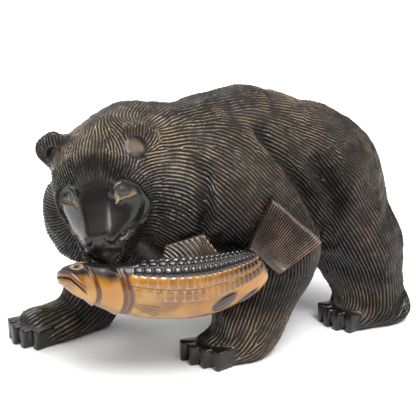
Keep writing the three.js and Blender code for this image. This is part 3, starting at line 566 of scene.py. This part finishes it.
def out_from_seeds(live, src, dst, step):
    """Angles carried from a few points to their neighbours, and on from these."""
    z = np.zeros(len(live), complex)
    order = np.argsort(src, kind="stable")
    first = np.searchsorted(src[order], np.arange(len(live) + 1))
    known = np.zeros(len(live), bool)
    for seed in np.nonzero(live)[0][::SEED_EVERY]:
        if known[seed]:
            continue
        z[seed] = 1
        known[seed] = True
        front = np.array([seed])
        while len(front):
            ring = np.concatenate([order[first[i]:first[i + 1]] for i in front])
            ring = ring[~known[dst[ring]]]
            z[dst[ring]] = z[src[ring]] * step[ring]
            front = np.unique(dst[ring])
            known[front] = True
    return z


def groove_angle(points, over, pitch, live, edges, rounds, start=None):
    """Angles spread over the surface, then evened out against the points around."""
    a, b = edges[live[edges[:, 0]] & live[edges[:, 1]]].T
    delta = points[:, b] - points[:, a]
    turn = math.pi * ((over[:, a] / pitch[a] + over[:, b] / pitch[b]) * delta).sum(0)
    n = points.shape[1]
    src, dst = np.concatenate([a, b]), np.concatenate([b, a])
    step = np.exp(1j * np.concatenate([turn, -turn]))
    z = out_from_seeds(live, src, dst, step) if start is None else start
    for _ in range(rounds):
        w = z[src] * step
        z = np.bincount(dst, w.real, n) + 1j * np.bincount(dst, w.imag, n)
        z /= np.maximum(np.abs(z), 1e-9)
    return z


def mesh_object(name, points, quads, fields):
    """An object in the part's frame, in metres, with a number per point for each field."""
    mesh = bpy.data.meshes.new(name)
    co = ((points.T - MIDDLE) * MM).astype(F)
    mesh.vertices.add(len(co))
    mesh.vertices.foreach_set("co", co.ravel())
    quads = np.asarray(quads, np.int32)
    mesh.loops.add(quads.size)
    mesh.loops.foreach_set("vertex_index", quads.ravel())
    mesh.polygons.add(len(quads))
    mesh.polygons.foreach_set("loop_start", np.arange(len(quads), dtype=np.int32) * quads.shape[1])
    for key, value in fields.items():
        mesh.attributes.new(key, "FLOAT", "POINT").data.foreach_set("value", value.astype(F))
    mesh.update(calc_edges=True)
    mesh.validate()
    thing = bpy.data.objects.new(name, mesh)
    bpy.context.scene.collection.objects.link(thing)
    return thing


def thin_out(thing, faces):
    """Fewer triangles, where the surface changes least without them."""
    now = sum(len(p.vertices) - 2 for p in thing.data.polygons)
    change = thing.modifiers.new("fewer", "DECIMATE")
    change.ratio = faces / now
    change.use_collapse_triangulate = True
    deps = bpy.context.evaluated_depsgraph_get()
    done = bpy.data.meshes.new_from_object(thing.evaluated_get(deps))
    thing.modifiers.clear()
    old, thing.data = thing.data, done
    bpy.data.meshes.remove(old)
    done.name = thing.name


# The coat
GRID, GRID_LOW, GRID_HIGH = 1.6, [-130, -195, -8], [115, 215, 250]
BODY_PITCH, HEAD_PITCH, FOOT_PITCH = 3.3, 2.8, 4.2    # from one groove to the next
GROOVE_DEPTH = 0.5    # as a share of the pitch
BARELY_CUT = 0.02
SOLE_HEIGHT = 0.6
BEAR_FACES = 196000


def lie_of_coat(points, normal):
    """Across the grooves, their pitch, and how deep they are cut."""
    q = to_head(points)
    head = head_form(q)
    body = body_form(points)
    lay = lay_at(points)
    over = np.cross(normal, lay, axis=0)
    over /= np.maximum(np.sqrt((over * over).sum(0)), 0.15)
    wider = (FOOT_PITCH - BODY_PITCH) * (1 - ease(30, 80, points[2]))
    pitch = np.where(head < body + 1, HEAD_PITCH, BODY_PITCH + wider)
    coat = np.where(head < body + 4, coat_on_head(q), 1)
    depth = coat * ease(0, 2.5, in_the_ears(q)) * ease(0.8, 3, claws_form(points)) * ease(1, 4, points[2])
    return over, pitch, depth


def grooved_surface():
    """Points, directions and faces of the bear, and the angle, pitch and depth of its grooves."""
    rough, quads = draw_surface(bear_form, GRID_LOW, GRID_HIGH, GRID)
    rough, normal = settle(bear_form, rough)
    over, pitch, depth = lie_of_coat(rough, normal)
    edges, where = edges_of(quads)
    angle = groove_angle(rough, over, pitch, depth > BARELY_CUT, edges, 150)
    lean = TAU * over / pitch

    def angle_between(corners):
        centre = rough[:, corners].mean(2)
        total = 0
        for k in range(corners.shape[1]):
            i = corners[:, k]
            total = total + angle[i] * np.exp(1j * (lean[:, i] * (centre - rough[:, i])).sum(0))
        return total / np.maximum(np.abs(total), 1e-9)

    fine_quads = split_quads(rough.shape[1], quads, edges, where)
    points, over, (pitch,), (depth,) = (with_middles(f, edges, quads) for f in (rough, over, pitch, depth))
    start = np.concatenate([angle, angle_between(edges), angle_between(quads)])
    angle = groove_angle(points, over, pitch, depth > BARELY_CUT, edges_of(fine_quads)[0], 12, start)
    points, normal = settle(bear_form, points)
    return points, normal, fine_quads, np.angle(angle), pitch, depth


def carve(points, normal, angle, pitch, depth):
    """Grooves with sharp ridges between them, over the flats left by broader cuts."""
    across = np.abs(angle) / math.pi
    strokes = 0.5 + 0.5 * noise(points, 26, 5)
    cut = depth * pitch * GROOVE_DEPTH * (0.55 + 0.75 * strokes)
    facets = depth * (1.0 * noise(points, 34, 3) + 0.55 * noise(points, 12, 4))
    carved = points + normal * (cut * (across ** 2 - 0.55) + facets)
    carved[2] = np.where(points[2] < SOLE_HEIGHT, points[2], np.maximum(carved[2], 0))
    return carved


# Where the stain has rubbed through to the tan wood: spots with a place, a reach and a strength
RUBBED = [
    ((-8, -113, 222), 34, 0.9), ((3, -138, 206), 26, 0.7), ((22, -92, 220), 26, 0.9),
    ((-16, -158, 190), 16, 0.7), ((40, -62, 196), 24, 1.0), ((30, -73, 198), 22, 0.9),
    ((53, 48, 188), 34, 0.45), ((20, 60, 226), 60, 0.4), ((84, 110, 120), 40, 0.35),
    ((66, -20, 176), 34, 0.4), ((76, -22, 24), 26, 1.0), ((-73, -142, 24), 26, 0.8),
    ((72, 102, 24), 24, 0.9), ((45, -5, 212), 30, 0.4), ((50, -60, 178), 18, 0.6),
    ((66, 27, 160), 20, 0.5),
]

# Painted shade: spots where the coat is kept black, without the tan of wear, under the ruff, before the
# thigh, in the groin and behind the shoulder
PAINTED_SHADE_SPOTS = [
    ((72, 70, 140), 26, 1.0), ((66, 90, 78), 30, 0.9), ((58, -52, 138), 24, 0.8),
    ((62, 32, 160), 14, 0.9), ((-10, -150, 110), 40, 0.6),
]


def spots(p, places):
    return np.clip(sum(strength * np.exp(-sum((x - a) ** 2 for x, a in zip(p, at)) / reach ** 2)
                       for at, reach, strength in places), 0, 1)


def stain_and_shade_fields(points):
    """Where the wood is worn to tan outside the painted shade, where it lies in a hollow, which gets painted
    shade, and the eyes and ears.
    """
    q = to_head(points)
    out, up, front = on_face(q)
    on_front = ease(4, 12, front)
    gap = outside(out, up, EYE_OPENING)
    ball = np.hypot(out - EYE_AT[0], up - EYE_AT[1]) / EYE_SIZE
    eye = on_front * ease(1.08, 0.94, ball) * ease(0.4, -0.3, gap)
    rim = on_front * ease(0.5, -0.1, gap) * ease(0.98, 1.12, ball) * ease(-13.5, -16, up)
    hollow = np.clip(sum(near_line(points, line, wide) for line, wide, _ in HOLLOWS), 0, 1)
    brow_shade = on_front * ease(22, 4, up) * ease(34, 20, out)
    off_face = off_mask(q)[0]
    worn_outside_shade = np.clip(0.13 + 0.14 * noise(points, 50, 7) + 0.9 * spots(points, RUBBED), 0, 1)
    # Painted shade: less tan in the muscle hollows and under the brows; the bare face gets none
    worn_outside_shade = worn_outside_shade * (1 - 0.95 * hollow) * (1 - 0.9 * brow_shade) * ease(-2, 14, off_face)
    # Painted shade: no tan in the spots under the ruff, before the thigh, in the groin and behind the
    # shoulder
    worn_outside_shade = worn_outside_shade * (1 - spots(points, PAINTED_SHADE_SPOTS))
    return dict(rubbed_outside_shade=worn_outside_shade, hollow=hollow, eye=eye, rim=rim, in_ear=ease(0.0, -3.5, in_the_ears(q)))


def carved_bear():
    points, normal, quads, angle, pitch, depth = grooved_surface()
    carved = carve(points, normal, angle, pitch, depth)
    fields = dict(turn_x=np.cos(angle), turn_y=np.sin(angle), coat=depth, **stain_and_shade_fields(points))
    piece = mesh_object("bear", carved, quads, fields)
    thin_out(piece, BEAR_FACES)
    return piece


# The salmon: its centre line, with half its height and half its thickness at each point
SALMON = np.array([
    [0, -172.7, 94, 3, 2], [10.5, -168.8, 97.3, 11, 7], [22, -159, 96, 16, 11],
    [39.6, -137.8, 90.4, 21.5, 14], [57.4, -107.6, 87.7, 26, 15], [70.5, -70.6, 86.4, 26.5, 14.5],
    [80.0, -34.9, 92.1, 21.5, 11], [82.1, -18.0, 98.2, 16, 8]])
SALMON_ROWS, SALMON_COLUMNS = 410, 186
SALMON_FACING, TAIL_FACING = (54, 17.5), (75, 6)
DEGREE = 0.36    # mm along the side of the fish for one degree around it


def along_curve(rows, t):
    """Points on a smooth curve through rows, t from 0 to 1."""
    ends = np.vstack([2 * rows[0] - rows[1], rows, 2 * rows[-1] - rows[-2]])
    x = np.clip(t, 0, 1) * (len(rows) - 1)
    i = np.minimum(x.astype(int), len(rows) - 2)
    f = (x - i)[..., None]
    a, b, c, d = ends[i], ends[i + 1], ends[i + 2], ends[i + 3]
    bend = (2 * a - 5 * b + 4 * c - d) * f * f
    return 0.5 * (2 * b + (c - a) * f + bend + (3 * b - a - 3 * c + d) * f ** 3)


def grid_quads(rows, columns, wrap):
    i, j = np.meshgrid(np.arange(rows - 1), np.arange(columns if wrap else columns - 1), indexing="ij")
    k = (j + 1) % columns
    ring = [i * columns + j, i * columns + k, (i + 1) * columns + k, (i + 1) * columns + j]
    return np.stack(ring, -1).reshape(-1, 4)


def salmon_skin():
    """The bare skin. A point has its share of the length, its height on the side from -1 to 1, the
    angle that goes with it, and its way along in mm. Both sides are alike."""
    t = np.linspace(0, 1, SALMON_ROWS) ** 0.9
    theta = np.linspace(-math.pi / 2, 1.5 * math.pi, SALMON_COLUMNS, endpoint=False)
    line = along_curve(SALMON, t)
    ahead = along_curve(SALMON, np.minimum(t + 1e-3, 1)) - along_curve(SALMON, np.maximum(t - 1e-3, 0))
    ahead = units(ahead[:, :3].T)
    side = units(np.cross(ahead, np.array([[0.0], [0], [1]]), axis=0))
    top = np.cross(side, ahead, axis=0)
    share, around = np.meshgrid(t, theta, indexing="ij")
    high, thick = line[:, 3:4], line[:, 4:5]
    round_end = np.sqrt(np.clip(share / 0.012, 0, 1)) * np.sqrt(np.clip((1.0005 - share) / 0.012, 0, 1))
    place = (line[:, :3].T[:, :, None] + top[:, :, None] * (high * np.sin(around) * round_end)
             + side[:, :, None] * (thick * np.cos(around) * round_end))
    out = units(top[:, :, None] * (np.sin(around) / high) + side[:, :, None] * (np.cos(around) / thick))
    steps = np.sqrt((np.diff(line[:, :3], axis=0) ** 2).sum(1))
    along = np.concatenate([[0], np.cumsum(steps)])
    up = np.sin(around)
    return SimpleNamespace(t=t, share=share, up=up, angle=np.degrees(np.arcsin(up)), along=along,
                           s=along[:, None] + 0 * around, high=high, place=place, out=out)


# Rows of scales: from and to in degrees above the lateral line, height, shift, and beads or tiles
SCALE_ROWS = [(1.5, 25, 0.9, 0.0, 0), (25, 50, 1.7, 0.5, 1), (50, 75, 1.8, 0.0, 1), (75, 100, 1.7, 0.5, 1),
              (-22, -1.5, 0.8, 0.3, 0)]
SCALE_LENGTH, SCALE_SHRINK = 7.9, 1.5


def lateral_line(share):
    """Its height in degrees: lowest at two thirds of the length, rising to both ends."""
    before = 10 * ((share - 0.66) / 0.17) ** 2 * (share < 0.66)
    after = 15 * ((share - 0.66) / 0.31) ** 2 * (share >= 0.66)
    return np.minimum(9 + before + after, 26)


def carve_scales(skin, cut):
    share = skin.share
    lateral = lateral_line(share)
    body = ease(0.468, 0.482, share) * (1 - ease(0.955, 0.985, share))
    length = SCALE_LENGTH - SCALE_SHRINK * ease(0.6, 0.95, share)
    for low_edge, high_edge, lift, shift, bead in SCALE_ROWS:
        across = (skin.angle - lateral - low_edge) / (high_edge - low_edge) * 2 - 1
        row = (np.abs(across) < 1) * body
        pace = skin.s / length + shift
        lengthways = (pace - np.floor(pace)) * 2 - 1
        start = ease(0.0, 0.02, share - 0.47 - 0.012 * bead * (high_edge > 60))
        rim = (np.abs(across) ** 3 + np.abs(lengthways) ** 3) ** (1 / 3)
        dome = np.clip(1 - rim ** 4, 0, 1)
        cut.h += row * start * (lift * dome - 0.5)
        stain = bead * row
        if not bead:
            stain = ease(0.70, 0.86, share) * (0.4 + 0.6 * dome)
        cut.dark = np.where(row > 0, np.maximum(cut.dark, stain), cut.dark)
        # Painted sheen: pale rims on the tile scales of the front part
        edge = row * ease(0.82, 1.0, rim) * (1 - ease(0.6, 0.9, share)) * (1 - bead)
        cut.pale = np.where(row > 0, edge, cut.pale)
    line_here = np.abs(skin.angle - lateral) / 1.1
    cut.h -= body * np.clip(1 - line_here, 0, 1) * 0.8
    cut.groove = np.maximum(cut.groove, body * np.clip(1.2 - line_here, 0, 1))


# Gill covers: how far along the edge lies, its bend, the height where it bulges, and its rise
GILLS = [(0.362, 0.045, -0.35, 1.7), (0.455, 0.0388, -0.16, 2.0), (0.472, 0.0388, -0.16, 1.0)]


def carve_gills(skin, cut):
    reach = ease(-1.0, -0.85, skin.up) * (1 - ease(0.7, 0.95, skin.up))
    for far, bend, bulge, height in GILLS:
        near = skin.share - (far - bend * (skin.up - bulge) ** 2)
        cut.h += reach * height * (ease(-0.05, -0.006, near) * (1 - ease(-0.004, 0.006, near)))
        cut.h -= reach * 0.9 * bump(0.008, 0.009, near)
        cut.groove = np.maximum(cut.groove, reach * bump(0.008, 0.014, near))


def carve_mouth(skin, cut):
    """A slit with a lip on each side; gives where the upper lip is red."""
    share = skin.share
    slit = 0.24 - 6.0 * np.maximum(share - 0.2, 0) ** 1.1
    off = (skin.up - slit) * skin.high
    along = ease(0.02, 0.05, share) * (1 - ease(0.30, 0.325, share))
    opening = np.clip(1 - np.abs(off) / (0.7 + 0.9 * bump(0.2, 0.12, share)), 0, 1)
    cut.h += along * (-2.4 * opening + 1.1 * bump(3.2, 2.6, off) + 1.1 * bump(-3.0, 2.4, off))
    cut.groove = np.maximum(cut.groove, along * np.clip(1.3 - np.abs(off) / 1.4, 0, 1))
    return along * bump(3.2, 3.6, off)


def from_place(skin, share, degrees):
    """How far each point lies from a place on the side of the fish, in mm along and up."""
    return skin.s - np.interp(share, skin.t, skin.along), (skin.angle - degrees) * DEGREE


FISH_EYE_AT, FISH_EYE_SIZE = (0.233, 66), (4.4, 5.4)


def carve_eye(skin, cut):
    """A ring around a low dome; gives the distance from its middle, which is one at its rim."""
    x, y = from_place(skin, *FISH_EYE_AT)
    ring = np.hypot(x / FISH_EYE_SIZE[0], y / FISH_EYE_SIZE[1])
    cut.h += 1.1 * bump(0.85, 0.3, ring) + 0.8 * np.clip(1 - (ring / 0.5) ** 2, 0, 1)
    return ring


# Roots and tips of the two leaf-shaped fins by the tail, and the breast fin
LEAVES = [((0.732, -45), (0.787, -23)), ((0.815, -66), (0.872, -44))]
LEAF_HALF = 0.42    # half its width as a share of its length
BREAST_ROOT, BREAST_TURN, BREAST_HALF, BREAST_RAY = (0.455, -14), -17, 16, 6.5


def carve_leaves(skin, cut):
    leaves = np.zeros(skin.up.shape)
    for root, tip in LEAVES:
        x, y = from_place(skin, *root)
        end_x, end_y = from_place(skin, *tip)
        way = x[0, 0] - end_x[0, 0], y[0, 0] - end_y[0, 0]
        length = np.hypot(*way)
        u = (x * way[0] + y * way[1]) / length ** 2
        w = (x * -way[1] + y * way[0]) / length
        leaf = np.hypot((u - 0.5) / 0.62, w / (LEAF_HALF * length * (0.75 + 0.35 * (0.5 - u))))
        leaves = np.maximum(leaves, np.clip(1.25 - leaf, 0, 1) * 4)
        cut.h += 1.3 * np.clip(1 - leaf ** 3, 0, 1) - 0.5 * bump(1.1, 0.18, leaf)
    return np.clip(leaves, 0, 1)


def carve_breast_fin(skin, cut):
    x, y = from_place(skin, *BREAST_ROOT)
    far = np.hypot(x, y)
    turn = np.degrees(np.arctan2(y, x))
    fin = ease(3, 8, far) * (1 - ease(27, 32 - 0.1 * np.abs(turn + 18), far))
    fin = fin * (np.abs(turn - BREAST_TURN) < BREAST_HALF)
    rays = 0.5 + 0.5 * np.cos(np.radians(turn - BREAST_TURN) * 360 / BREAST_RAY)
    cut.h += fin * (0.9 * rays - 0.3)
    cut.groove = np.maximum(cut.groove, fin * (1 - rays) ** 2 * 0.9)


# Where the dark stain of the back ends, with a softer edge over the gills
BACK_AT = [0, 0.05, 0.13, 0.233, 0.32, 0.40, 0.46, 0.50]
BACK_EDGE = [0.9, 0.72, 0.62, 0.52, 0.6, 0.48, 0.62, 0.86]
SOFT_AT, SOFT_EDGE = [0, 0.25, 0.33, 0.42, 0.5], [0.05, 0.07, 0.18, 0.22, 0.06]


def darken_fish(skin, cut, leaves, ring):
    edge = np.interp(skin.t, BACK_AT, BACK_EDGE)
    soft = np.interp(skin.t, SOFT_AT, SOFT_EDGE)
    back = ease(-1, 1, (skin.up - edge[:, None]) / soft[:, None])
    tail_root = ease(0.93, 0.99, skin.share) * ease(-0.6, 0.1, skin.up)
    cut.dark = np.maximum.reduce([cut.dark, back, leaves * 0.95, tail_root])
    cut.dark *= 1 - bump(0.85, 0.35, ring)
    cut.pale = np.maximum(cut.pale, 0.9 * bump(0.85, 0.3, ring))


def salmon_body():
    """The fish without its tail and back fin. Each cut has a height, two kinds of stain, and a pale mark for
    the eye's ring and a painted sheen on the rims of the scales.
    """
    skin = salmon_skin()
    cut = SimpleNamespace(**{key: 0 * skin.up for key in ("h", "dark", "groove", "pale")})
    carve_scales(skin, cut)
    carve_gills(skin, cut)
    lip = carve_mouth(skin, cut)
    ring = carve_eye(skin, cut)
    leaves = carve_leaves(skin, cut)
    carve_breast_fin(skin, cut)
    darken_fish(skin, cut, leaves, ring)
    points = skin.place + skin.out * cut.h
    fields = dict(dark=cut.dark, groove=np.clip(cut.groove, 0, 1), pale=np.clip(cut.pale, 0, 1),
                  red=lip, ray=0 * lip, belly=0.75 * ease(-0.45, -0.95, skin.up))
    quads = grid_quads(SALMON_ROWS, SALMON_COLUMNS, True)[:, ::-1]
    return points.reshape(3, -1), quads, {k: v.ravel() for k, v in fields.items()}


# Tail and dorsal fin: plates with rays, between a bottom and a top line in mm right and up
def polar(length, degrees):
    return [length * math.cos(math.radians(degrees)), length * math.sin(math.radians(degrees))]


TAIL_LENGTH, TAIL_NOTCH, TAIL_TOP, TAIL_OPEN, TAIL_POINTS = 59, 9, 81, 67, 12
TAIL = dict(
    root=[81.4, -17.4, 97.8], axes=facing(*TAIL_FACING),
    bottom=[polar(22, 137), [0, 0], polar(16, -40)],
    top=[polar(TAIL_LENGTH - TAIL_NOTCH * math.sin(k / TAIL_POINTS * math.pi),
               TAIL_TOP - TAIL_OPEN * k / TAIL_POINTS) for k in range(TAIL_POINTS + 1)],
    thick=8, rays=23, lean=0.0, depth=1.6, columns=220, rows=36)
DORSAL = dict(
    root=[42.3, -97.4, 105.5], axes=facing(*SALMON_FACING),
    bottom=[[0, 0], [53, -4]], top=[[4, 15], [37, 25], [52, 5]],
    thick=5, rays=12, lean=0.45, depth=1.2, columns=120, rows=20)


def along_path(path, x):
    """Places on a line through some points, by their share of its length."""
    path = np.array(path, float)
    far = np.concatenate([[0], np.cumsum(np.hypot(*np.diff(path, axis=0).T))])
    return np.stack([np.interp(x * far[-1], far, path[:, k]) for k in (0, 1)])


def border_of(columns, rows):
    """The numbers of the points around the edge of a grid, in turn."""
    last = (columns - 1) * rows
    left, right = np.arange(rows - 1), last + np.arange(rows - 1, 0, -1)
    upper, lower = np.arange(0, last, rows) + rows - 1, np.arange(last, 0, -rows)
    return np.concatenate([left, upper, right, lower])


def fin(root, axes, bottom, top, thick, rays, lean, depth, columns, rows):
    """A plate with rays on both faces and a rounded rim."""
    right, up, out = (axis[:, None, None] for axis in axes)
    s, t = np.meshgrid(np.linspace(0, 1, columns), np.linspace(0, 1, rows), indexing="ij")
    flat = along_path(bottom, s) * (1 - t) + along_path(top, s) * t
    wave = 0.5 + 0.5 * np.cos((s + lean * t) * TAU * rays)
    rim = np.minimum(np.minimum(s, 1 - s) * columns / 5, np.minimum(t, 1 - t) * rows / 3)
    edge = np.sqrt(np.clip(1 - (1 - np.clip(rim, 0, 1)) ** 2, 0, 1))
    lift = thick * edge - depth * wave * ease(0.0, 0.35, t) * edge
    base = np.array(root)[:, None, None] + right * flat[0] + up * flat[1]
    faces = [(base + out * lift).reshape(3, -1), (base - out * lift).reshape(3, -1)]
    front = grid_quads(columns, rows, False)
    border = border_of(columns, rows)
    following = np.roll(border, -1)
    rim_quads = np.stack([border, following, following + s.size, border + s.size], 1)
    quads = np.concatenate([front, front[:, ::-1] + s.size, rim_quads[:, ::-1]])
    ridge = (1 - wave) ** 3 * ease(0, 0.3, t)
    reddish = 0.07 + 0.3 * ease(0.78, 1.0, s)
    fields = dict(dark=1 - reddish, groove=0 * s, pale=0 * s, red=1 + 0 * s, ray=0.9 * ridge, belly=0 * s)
    return np.concatenate(faces, 1), quads, {k: np.tile(v.ravel(), 2) for k, v in fields.items()}


def carved_salmon():
    parts = [salmon_body(), fin(**TAIL), fin(**DORSAL)]
    first = np.cumsum([0] + [points.shape[1] for points, _, _ in parts])
    points = np.concatenate([points for points, _, _ in parts], 1)
    quads = np.concatenate([quads + n for (_, quads, _), n in zip(parts, first)])
    fields = {key: np.concatenate([fields[key] for _, _, fields in parts]) for key in parts[0][2]}
    return mesh_object("salmon", points, quads, fields)


# Materials
def nodes_of(name):
    mat = bpy.data.materials.new(name)
    mat.use_nodes = True
    tree = mat.node_tree
    shader = next(n for n in tree.nodes if n.type == "BSDF_PRINCIPLED")
    return mat, tree, shader


def feed(tree, value, socket):
    """A colour, a number, the name of a field of the mesh, or a link, fed to a socket."""
    if isinstance(value, tuple):
        socket.default_value = (*value, 1)
    elif isinstance(value, (int, float)):
        socket.default_value = value
    elif isinstance(value, str):
        field = tree.nodes.new("ShaderNodeAttribute")
        field.attribute_name = value
        tree.links.new(field.outputs["Fac"], socket)
    else:
        tree.links.new(value, socket)


def mixed(tree, a, b, factor):
    """One colour laid over another by a factor."""
    mix = tree.nodes.new("ShaderNodeMix")
    mix.data_type = "RGBA"
    for name, value in (("A", a), ("B", b), ("Factor", factor)):
        feed(tree, value, mix.inputs[name])
    return mix.outputs["Result"]


def maths(tree, operation, *values):
    node = tree.nodes.new("ShaderNodeMath")
    node.operation = operation
    for socket, value in zip(node.inputs, values):
        feed(tree, value, socket)
    return node.outputs[0]


def times(tree, a, b, plus=0):
    return maths(tree, "MULTIPLY_ADD", a, b, plus)


def between(tree, value, low, high):
    """Nothing below one value, one above another, smooth between them."""
    node = tree.nodes.new("ShaderNodeMapRange")
    node.interpolation_type = "SMOOTHSTEP"
    node.inputs["From Min"].default_value = low
    node.inputs["From Max"].default_value = high
    tree.links.new(value, node.inputs["Value"])
    return node.outputs["Result"]


def speckle(tree, scale, detail=3):
    """Noise fixed to the wood."""
    place = tree.nodes.new("ShaderNodeTexCoord")
    node = tree.nodes.new("ShaderNodeTexNoise")
    node.inputs["Scale"].default_value = scale
    node.inputs["Detail"].default_value = detail
    tree.links.new(place.outputs["Object"], node.inputs["Vector"])
    return node.outputs["Fac"]


def raised(tree, shader, height, distance, strength):
    node = tree.nodes.new("ShaderNodeBump")
    node.inputs["Strength"].default_value = strength
    node.inputs["Distance"].default_value = distance
    tree.links.new(height, node.inputs["Height"])
    tree.links.new(node.outputs["Normal"], shader.inputs["Normal"])


DEEP_BLACK, BLACK_STAIN, THIN_STAIN = (0.0035, 0.0030, 0.0028), (0.012, 0.0095, 0.008), (0.030, 0.023, 0.017)
SHADED, DARK_WOOD, PALE_WOOD = (0.003, 0.003, 0.003), (0.17, 0.11, 0.058), (0.40, 0.29, 0.175)
EYE_RIM, EYE_BALL = (0.25, 0.165, 0.09), (0.035, 0.033, 0.031)
GRAIN = 0.0004    # metres, height of the finest marks


def bear_material():
    """Black stain and satin lacquer on carved wood, worn to tan on the ridges, with painted shade in the
    hollows.
    """
    mat, tree, shader = nodes_of("stained_wood")
    angle = maths(tree, "ARCTAN2", "turn_y", "turn_x")
    across = maths(tree, "DIVIDE", maths(tree, "ABSOLUTE", angle), math.pi)
    ridge = times(tree, between(tree, across, 0.60, 0.90), "coat")
    broken = between(tree, speckle(tree, 75, 4), 0.34, 0.60)
    patches = between(tree, speckle(tree, 22), 0.36, 0.60)
    wear = times(tree, "rubbed_outside_shade", times(tree, patches, 0.75, 0.45))
    tan = maths(tree, "MINIMUM", times(tree, times(tree, ridge, broken), wear), 1.0)
    stain = mixed(tree, DEEP_BLACK, BLACK_STAIN, speckle(tree, 25))
    stain = mixed(tree, stain, THIN_STAIN, times(tree, "coat", "rubbed_outside_shade"))
    wood = mixed(tree, DARK_WOOD, PALE_WOOD, speckle(tree, 60))
    colour = mixed(tree, stain, wood, tan)
    # Painted shade: the muscle hollows darkened towards black
    colour = mixed(tree, colour, SHADED, times(tree, "hollow", 0.85))
    colour = mixed(tree, colour, wood, times(tree, "in_ear", 0.3))
    colour = mixed(tree, colour, EYE_RIM, "rim")
    colour = mixed(tree, colour, EYE_BALL, "eye")
    tree.links.new(colour, shader.inputs["Base Color"])
    # Lacquer lies thin and dull in the grooves, and is polished where hands have been
    groove = times(tree, between(tree, across, 0.75, 0.15), "coat")
    shine = times(tree, groove, -0.34, 0.46)
    tree.links.new(shine, shader.inputs["Specular IOR Level"])
    dull = times(tree, speckle(tree, 45), 0.28, 0.14)
    dull = times(tree, "in_ear", 0.35, dull)
    tree.links.new(times(tree, groove, 0.3, dull), shader.inputs["Roughness"])
    threads = maths(tree, "SINE", times(tree, angle, 3.0))
    relief = maths(tree, "ADD", times(tree, across, 2.2), times(tree, threads, 0.22))
    relief = maths(tree, "ADD", times(tree, relief, "coat"), times(tree, speckle(tree, 130, 4), 0.5))
    raised(tree, shader, relief, GRAIN, 0.8)
    return mat


GOLD, AMBER, CLOUD = (0.55, 0.32, 0.07), (0.36, 0.15, 0.015), (0.10, 0.034, 0.006)
BELLY, RED, FISH_BLACK = (0.20, 0.075, 0.010), (0.17, 0.055, 0.015), (0.010, 0.0075, 0.007)
PALE_RING_AND_SHEEN, BROWN_GROOVE, TAN_RAY = (0.30, 0.20, 0.12), (0.075, 0.026, 0.008), (0.17, 0.115, 0.07)


def salmon_material():
    """Clear golden stain with darker clouds, black above, under a glossy lacquer."""
    mat, tree, shader = nodes_of("stained_salmon")
    clouds = between(tree, speckle(tree, 28, 4), 0.42, 0.66)
    colour = mixed(tree, GOLD, AMBER, between(tree, speckle(tree, 18, 2), 0.38, 0.62))
    colour = mixed(tree, colour, CLOUD, times(tree, clouds, 0.7))
    # The pale layer is the eye's pale ring and a painted sheen on the rims of the tile scales
    for layer, name in ((BELLY, "belly"), (RED, "red"), (FISH_BLACK, "dark"), (PALE_RING_AND_SHEEN, "pale"),
                        (BROWN_GROOVE, "groove")):
        colour = mixed(tree, colour, layer, name)
    rays = times(tree, "ray", between(tree, speckle(tree, 70), 0.36, 0.66))
    colour = mixed(tree, colour, TAN_RAY, rays)
    tree.links.new(colour, shader.inputs["Base Color"])
    tree.links.new(times(tree, speckle(tree, 50), 0.22, 0.12), shader.inputs["Roughness"])
    shader.inputs["Coat Weight"].default_value = 0.35
    shader.inputs["Coat Roughness"].default_value = 0.12
    raised(tree, shader, speckle(tree, 140, 4), GRAIN, 0.5)
    return mat


bear, salmon = carved_bear(), carved_salmon()
for piece, material in ((bear, bear_material()), (salmon, salmon_material())):
    piece.data.materials.append(material)
    piece.data.shade_smooth()
    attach(piece, "root")
    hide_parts("carved_bear")


# Floor, light and camera
def floor_material():
    mat, _, shader = nodes_of("white_floor")
    shader.inputs["Base Color"].default_value = (0.93, 0.93, 0.93, 1)
    shader.inputs["Roughness"].default_value = 0.8
    shader.inputs["Specular IOR Level"].default_value = 0.2
    return mat


def studio():
    """A world that is bright above and behind the bear and dim on the photographer's side."""
    world = bpy.data.worlds.new("studio")
    bpy.context.scene.world = world
    world.use_nodes = True
    tree = world.node_tree
    backdrop = tree.nodes["Background"]
    place = tree.nodes.new("ShaderNodeTexCoord")
    split = tree.nodes.new("ShaderNodeSeparateXYZ")
    tree.links.new(place.outputs["Generated"], split.inputs["Vector"])
    behind = times(tree, split.outputs["X"], -0.81, times(tree, split.outputs["Y"], 0.59))
    glow = between(tree, behind, -0.35, 0.75)
    overhead = between(tree, split.outputs["Z"], 0.25, 0.95)
    total = times(tree, glow, 0.75, times(tree, overhead, 1.1, 0.14))
    tree.links.new(total, backdrop.inputs["Strength"])
    backdrop.inputs["Color"].default_value = (1, 1, 1, 1)


def looking_from(data, at, away, **settings):
    """A light or a camera at a place, with its back turned to a direction."""
    for key, value in settings.items():
        setattr(data, key, value)
    thing = bpy.data.objects.new(data.name, data)
    thing.location = at
    thing.rotation_euler = Vector(away).to_track_quat("Z", "Y").to_euler()
    bpy.context.scene.collection.objects.link(thing)
    return thing


# The photograph's angle. The window stands to the left of the bear's head.
CAMERA_FACING, CAMERA_FAR = (54, 17.5), 1000
CAMERA_TARGET = np.array([-71.4, 35.7, 100])
WINDOW_AT, WINDOW_TARGET = Vector((0.93, -0.12, 1.25)), Vector((-0.02, -0.12, 0.14))


bpy.ops.mesh.primitive_plane_add(size=60)
floor = bpy.context.object
floor.name = "floor"
floor.data.materials.append(floor_material())
studio()
looking_from(bpy.data.lights.new("overhead", "SUN"), (0, 0, 0), (0.35, -0.05, 0.93),
             energy=2.7, angle=math.radians(40))
looking_from(bpy.data.lights.new("window", "AREA"), WINDOW_AT, WINDOW_AT - WINDOW_TARGET,
             shape="RECTANGLE", size=0.32, size_y=0.5, energy=8)
photographer = facing(*CAMERA_FACING)[2]
camera_at = (CAMERA_TARGET - MIDDLE + CAMERA_FAR * photographer) * MM
bpy.context.scene.camera = looking_from(bpy.data.cameras.new("camera"), camera_at, photographer,
                                        lens=85, sensor_width=36, clip_end=20)
bpy.context.scene.view_settings.view_transform = "Standard"
